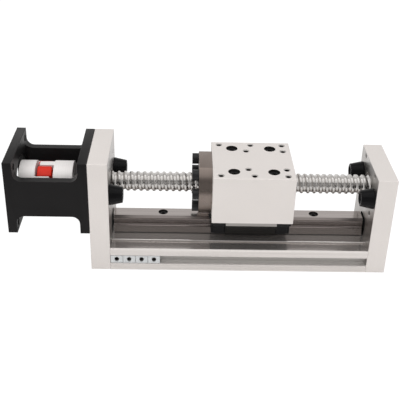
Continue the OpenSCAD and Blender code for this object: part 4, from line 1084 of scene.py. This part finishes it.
class MODULE_OT_studio(bpy.types.Operator):
    """Floor, world, light and camera"""
    bl_idname = "module.studio"
    bl_label = "Studio"

    def execute(self, context):
        values = context.scene.module_studio
        self.camera(context, values)
        self.floor()
        self.light(values)
        self.world(context, values)
        context.scene.view_settings.view_transform = "Standard"
        return {"FINISHED"}

    def camera(self, context, values):
        """Camera turned by yaw, pitch and roll."""
        yaw, pitch, roll = values.camera_yaw, values.camera_pitch, values.camera_roll
        forward = Vector((math.sin(yaw) * math.cos(pitch), math.cos(yaw) * math.cos(pitch), -math.sin(pitch)))
        level = forward.cross(Vector((0, 0, 1))).normalized()
        upright = level.cross(forward)
        right = math.cos(roll) * level + math.sin(roll) * upright
        up = -math.sin(roll) * level + math.cos(roll) * upright
        data = bpy.data.cameras.new("Camera")
        camera = link_object("Camera", data)
        turn = Matrix((right, up, -forward)).transposed().to_4x4()
        camera.matrix_world = Matrix.Translation(values.camera_place) @ turn
        data.sensor_width = 36.0
        data.lens = values.camera_lens
        data.shift_x, data.shift_y = values.camera_shift
        data.clip_start, data.clip_end = 0.01, 50.0
        context.scene.camera = camera

    def floor(self):
        """Pale floor; what the camera sees of it is lifted, so that shadows stay faint."""
        mesh = bpy.data.meshes.new("Floor")
        left, right, front, back = -FLOOR_SIDE, FLOOR_SIDE, -FLOOR_FRONT, FLOOR_SIDE
        corners = [(left, front, 0), (right, front, 0), (right, back, 0), (left, back, 0)]
        mesh.from_pydata(corners, [], [(0, 1, 2, 3)])
        mat, tree, bsdf = new_material("Floor white", roughness=0.9, Specular_IOR_Level=0.0)
        patches = noise(tree, object_place(tree), 3.0, 2.0)
        paint = mix_colour(tree, patches, shade(WHITE[:3], 0.86), shade(WHITE[:3], 0.9))
        tree.links.new(paint, bsdf.inputs["Base Color"])
        glow = put(tree, "ShaderNodeEmission", {"Color": WHITE, "Strength": 1.12})
        path = put(tree, "ShaderNodeLightPath")
        lift = math_node(tree, "MULTIPLY", path.outputs["Is Camera Ray"], 0.88)
        mix = put(tree, "ShaderNodeMixShader", {0: lift, 1: bsdf.outputs[0], 2: glow.outputs[0]})
        output = next(node for node in tree.nodes if node.type == "OUTPUT_MATERIAL")
        tree.links.new(mix.outputs[0], output.inputs["Surface"])
        mesh.materials.append(mat)
        link_object("Floor", mesh)

    def light(self, values):
        """Softbox straight above; gloss sees the world's bright band in its place."""
        data = bpy.data.lights.new("Overhead softbox", "AREA")
        data.shape = "RECTANGLE"
        data.energy = values.overhead_power
        data.size, data.size_y = SOFTBOX_SIZE
        softbox = link_object("Overhead softbox", data)
        softbox.location = SOFTBOX_PLACE
        softbox.visible_camera = False
        softbox.visible_glossy = False
        softbox.rotation_euler = Vector((0, 0, -1)).to_track_quat("-Z", "Y").to_euler()

    def world(self, context, values):
        """White for the camera, even light for matt faces, and an arc of dark and bright bands for gloss."""
        world = bpy.data.worlds.new("Studio")
        context.scene.world = world
        world.use_nodes = True
        tree = world.node_tree
        tree.nodes.clear()
        x, y, z = put(tree, "ShaderNodeSeparateXYZ",
                      {0: put(tree, "ShaderNodeTexCoord").outputs["Generated"]}).outputs
        turn = math_node(tree, "ARCTAN2", math_node(tree, "MAXIMUM", z, 0.0001), y)
        ramp = put(tree, "ShaderNodeValToRGB", {0: math_node(tree, "DIVIDE", turn, math.pi)})
        band = ramp.color_ramp
        while len(band.elements) < len(GLOSS_ARC):
            band.elements.new(0.5)
        for element, (place, value) in zip(band.elements, GLOSS_ARC):
            element.position = place
            element.color = (value, value, value, 1)
        sheen = math_node(tree, "MULTIPLY", ramp.outputs[0], GLOSS_LEVEL)
        aside = remap(tree, math_node(tree, "ABSOLUTE", x), 0.4, 0.85, interpolation_type="SMOOTHSTEP")
        in_gloss = math_node(tree, "MULTIPLY", mix_colour(tree, aside, sheen, SIDE_GLOSS), 1.1)
        in_front = remap(tree, y, -1.0, 0.3, 1.7, 0.5)
        on_matt = math_node(tree, "MULTIPLY", in_front, values.room_light)
        path = put(tree, "ShaderNodeLightPath").outputs
        level = remap(tree, path["Is Glossy Ray"], 0.0, 1.0, on_matt, in_gloss)
        lit = put(tree, "ShaderNodeBackground", {"Color": WARM_WHITE, "Strength": level}).outputs[0]
        seen = put(tree, "ShaderNodeBackground", {"Color": WHITE, "Strength": 1.05}).outputs[0]
        mix = put(tree, "ShaderNodeMixShader", {0: path["Is Camera Ray"], 1: lit, 2: seen})
        put(tree, "ShaderNodeOutputWorld", {"Surface": mix.outputs[0]})


# ---------- panel and registration ----------

class MODULE_PT_panel(bpy.types.Panel):
    """Lists the pieces of the module"""
    bl_idname = "MODULE_PT_panel"
    bl_label = "Linear Module"
    bl_space_type = "VIEW_3D"
    bl_region_type = "UI"
    bl_category = "Linear Module"

    def draw(self, context):
        for operator in OPERATORS:
            self.layout.operator(operator.bl_idname)


GROUPS = (ModuleSizes, ModuleColours, StudioValues)
OPERATORS = (MODULE_OT_finishes, MODULE_OT_machined, MODULE_OT_carriers, MODULE_OT_coupling, MODULE_OT_screw,
             MODULE_OT_stops, MODULE_OT_studio)
CLASSES = GROUPS + OPERATORS + (MODULE_PT_panel,)


def register():
    for cls in CLASSES:
        bpy.utils.register_class(cls)
    bpy.types.Scene.module_sizes = bpy.props.PointerProperty(type=ModuleSizes)
    bpy.types.Scene.module_colours = bpy.props.PointerProperty(type=ModuleColours)
    bpy.types.Scene.module_studio = bpy.props.PointerProperty(type=StudioValues)


def unregister():
    del bpy.types.Scene.module_sizes
    del bpy.types.Scene.module_colours
    del bpy.types.Scene.module_studio
    for cls in reversed(CLASSES):
        bpy.utils.unregister_class(cls)


def main():
    register()
    bpy.ops.module.finishes()
    bpy.ops.module.machined()
    bpy.ops.module.carriers()
    bpy.ops.module.coupling()
    bpy.ops.module.screw()
    bpy.ops.module.stops()
    bpy.ops.module.studio()


if __name__ == "__main__":
    main()
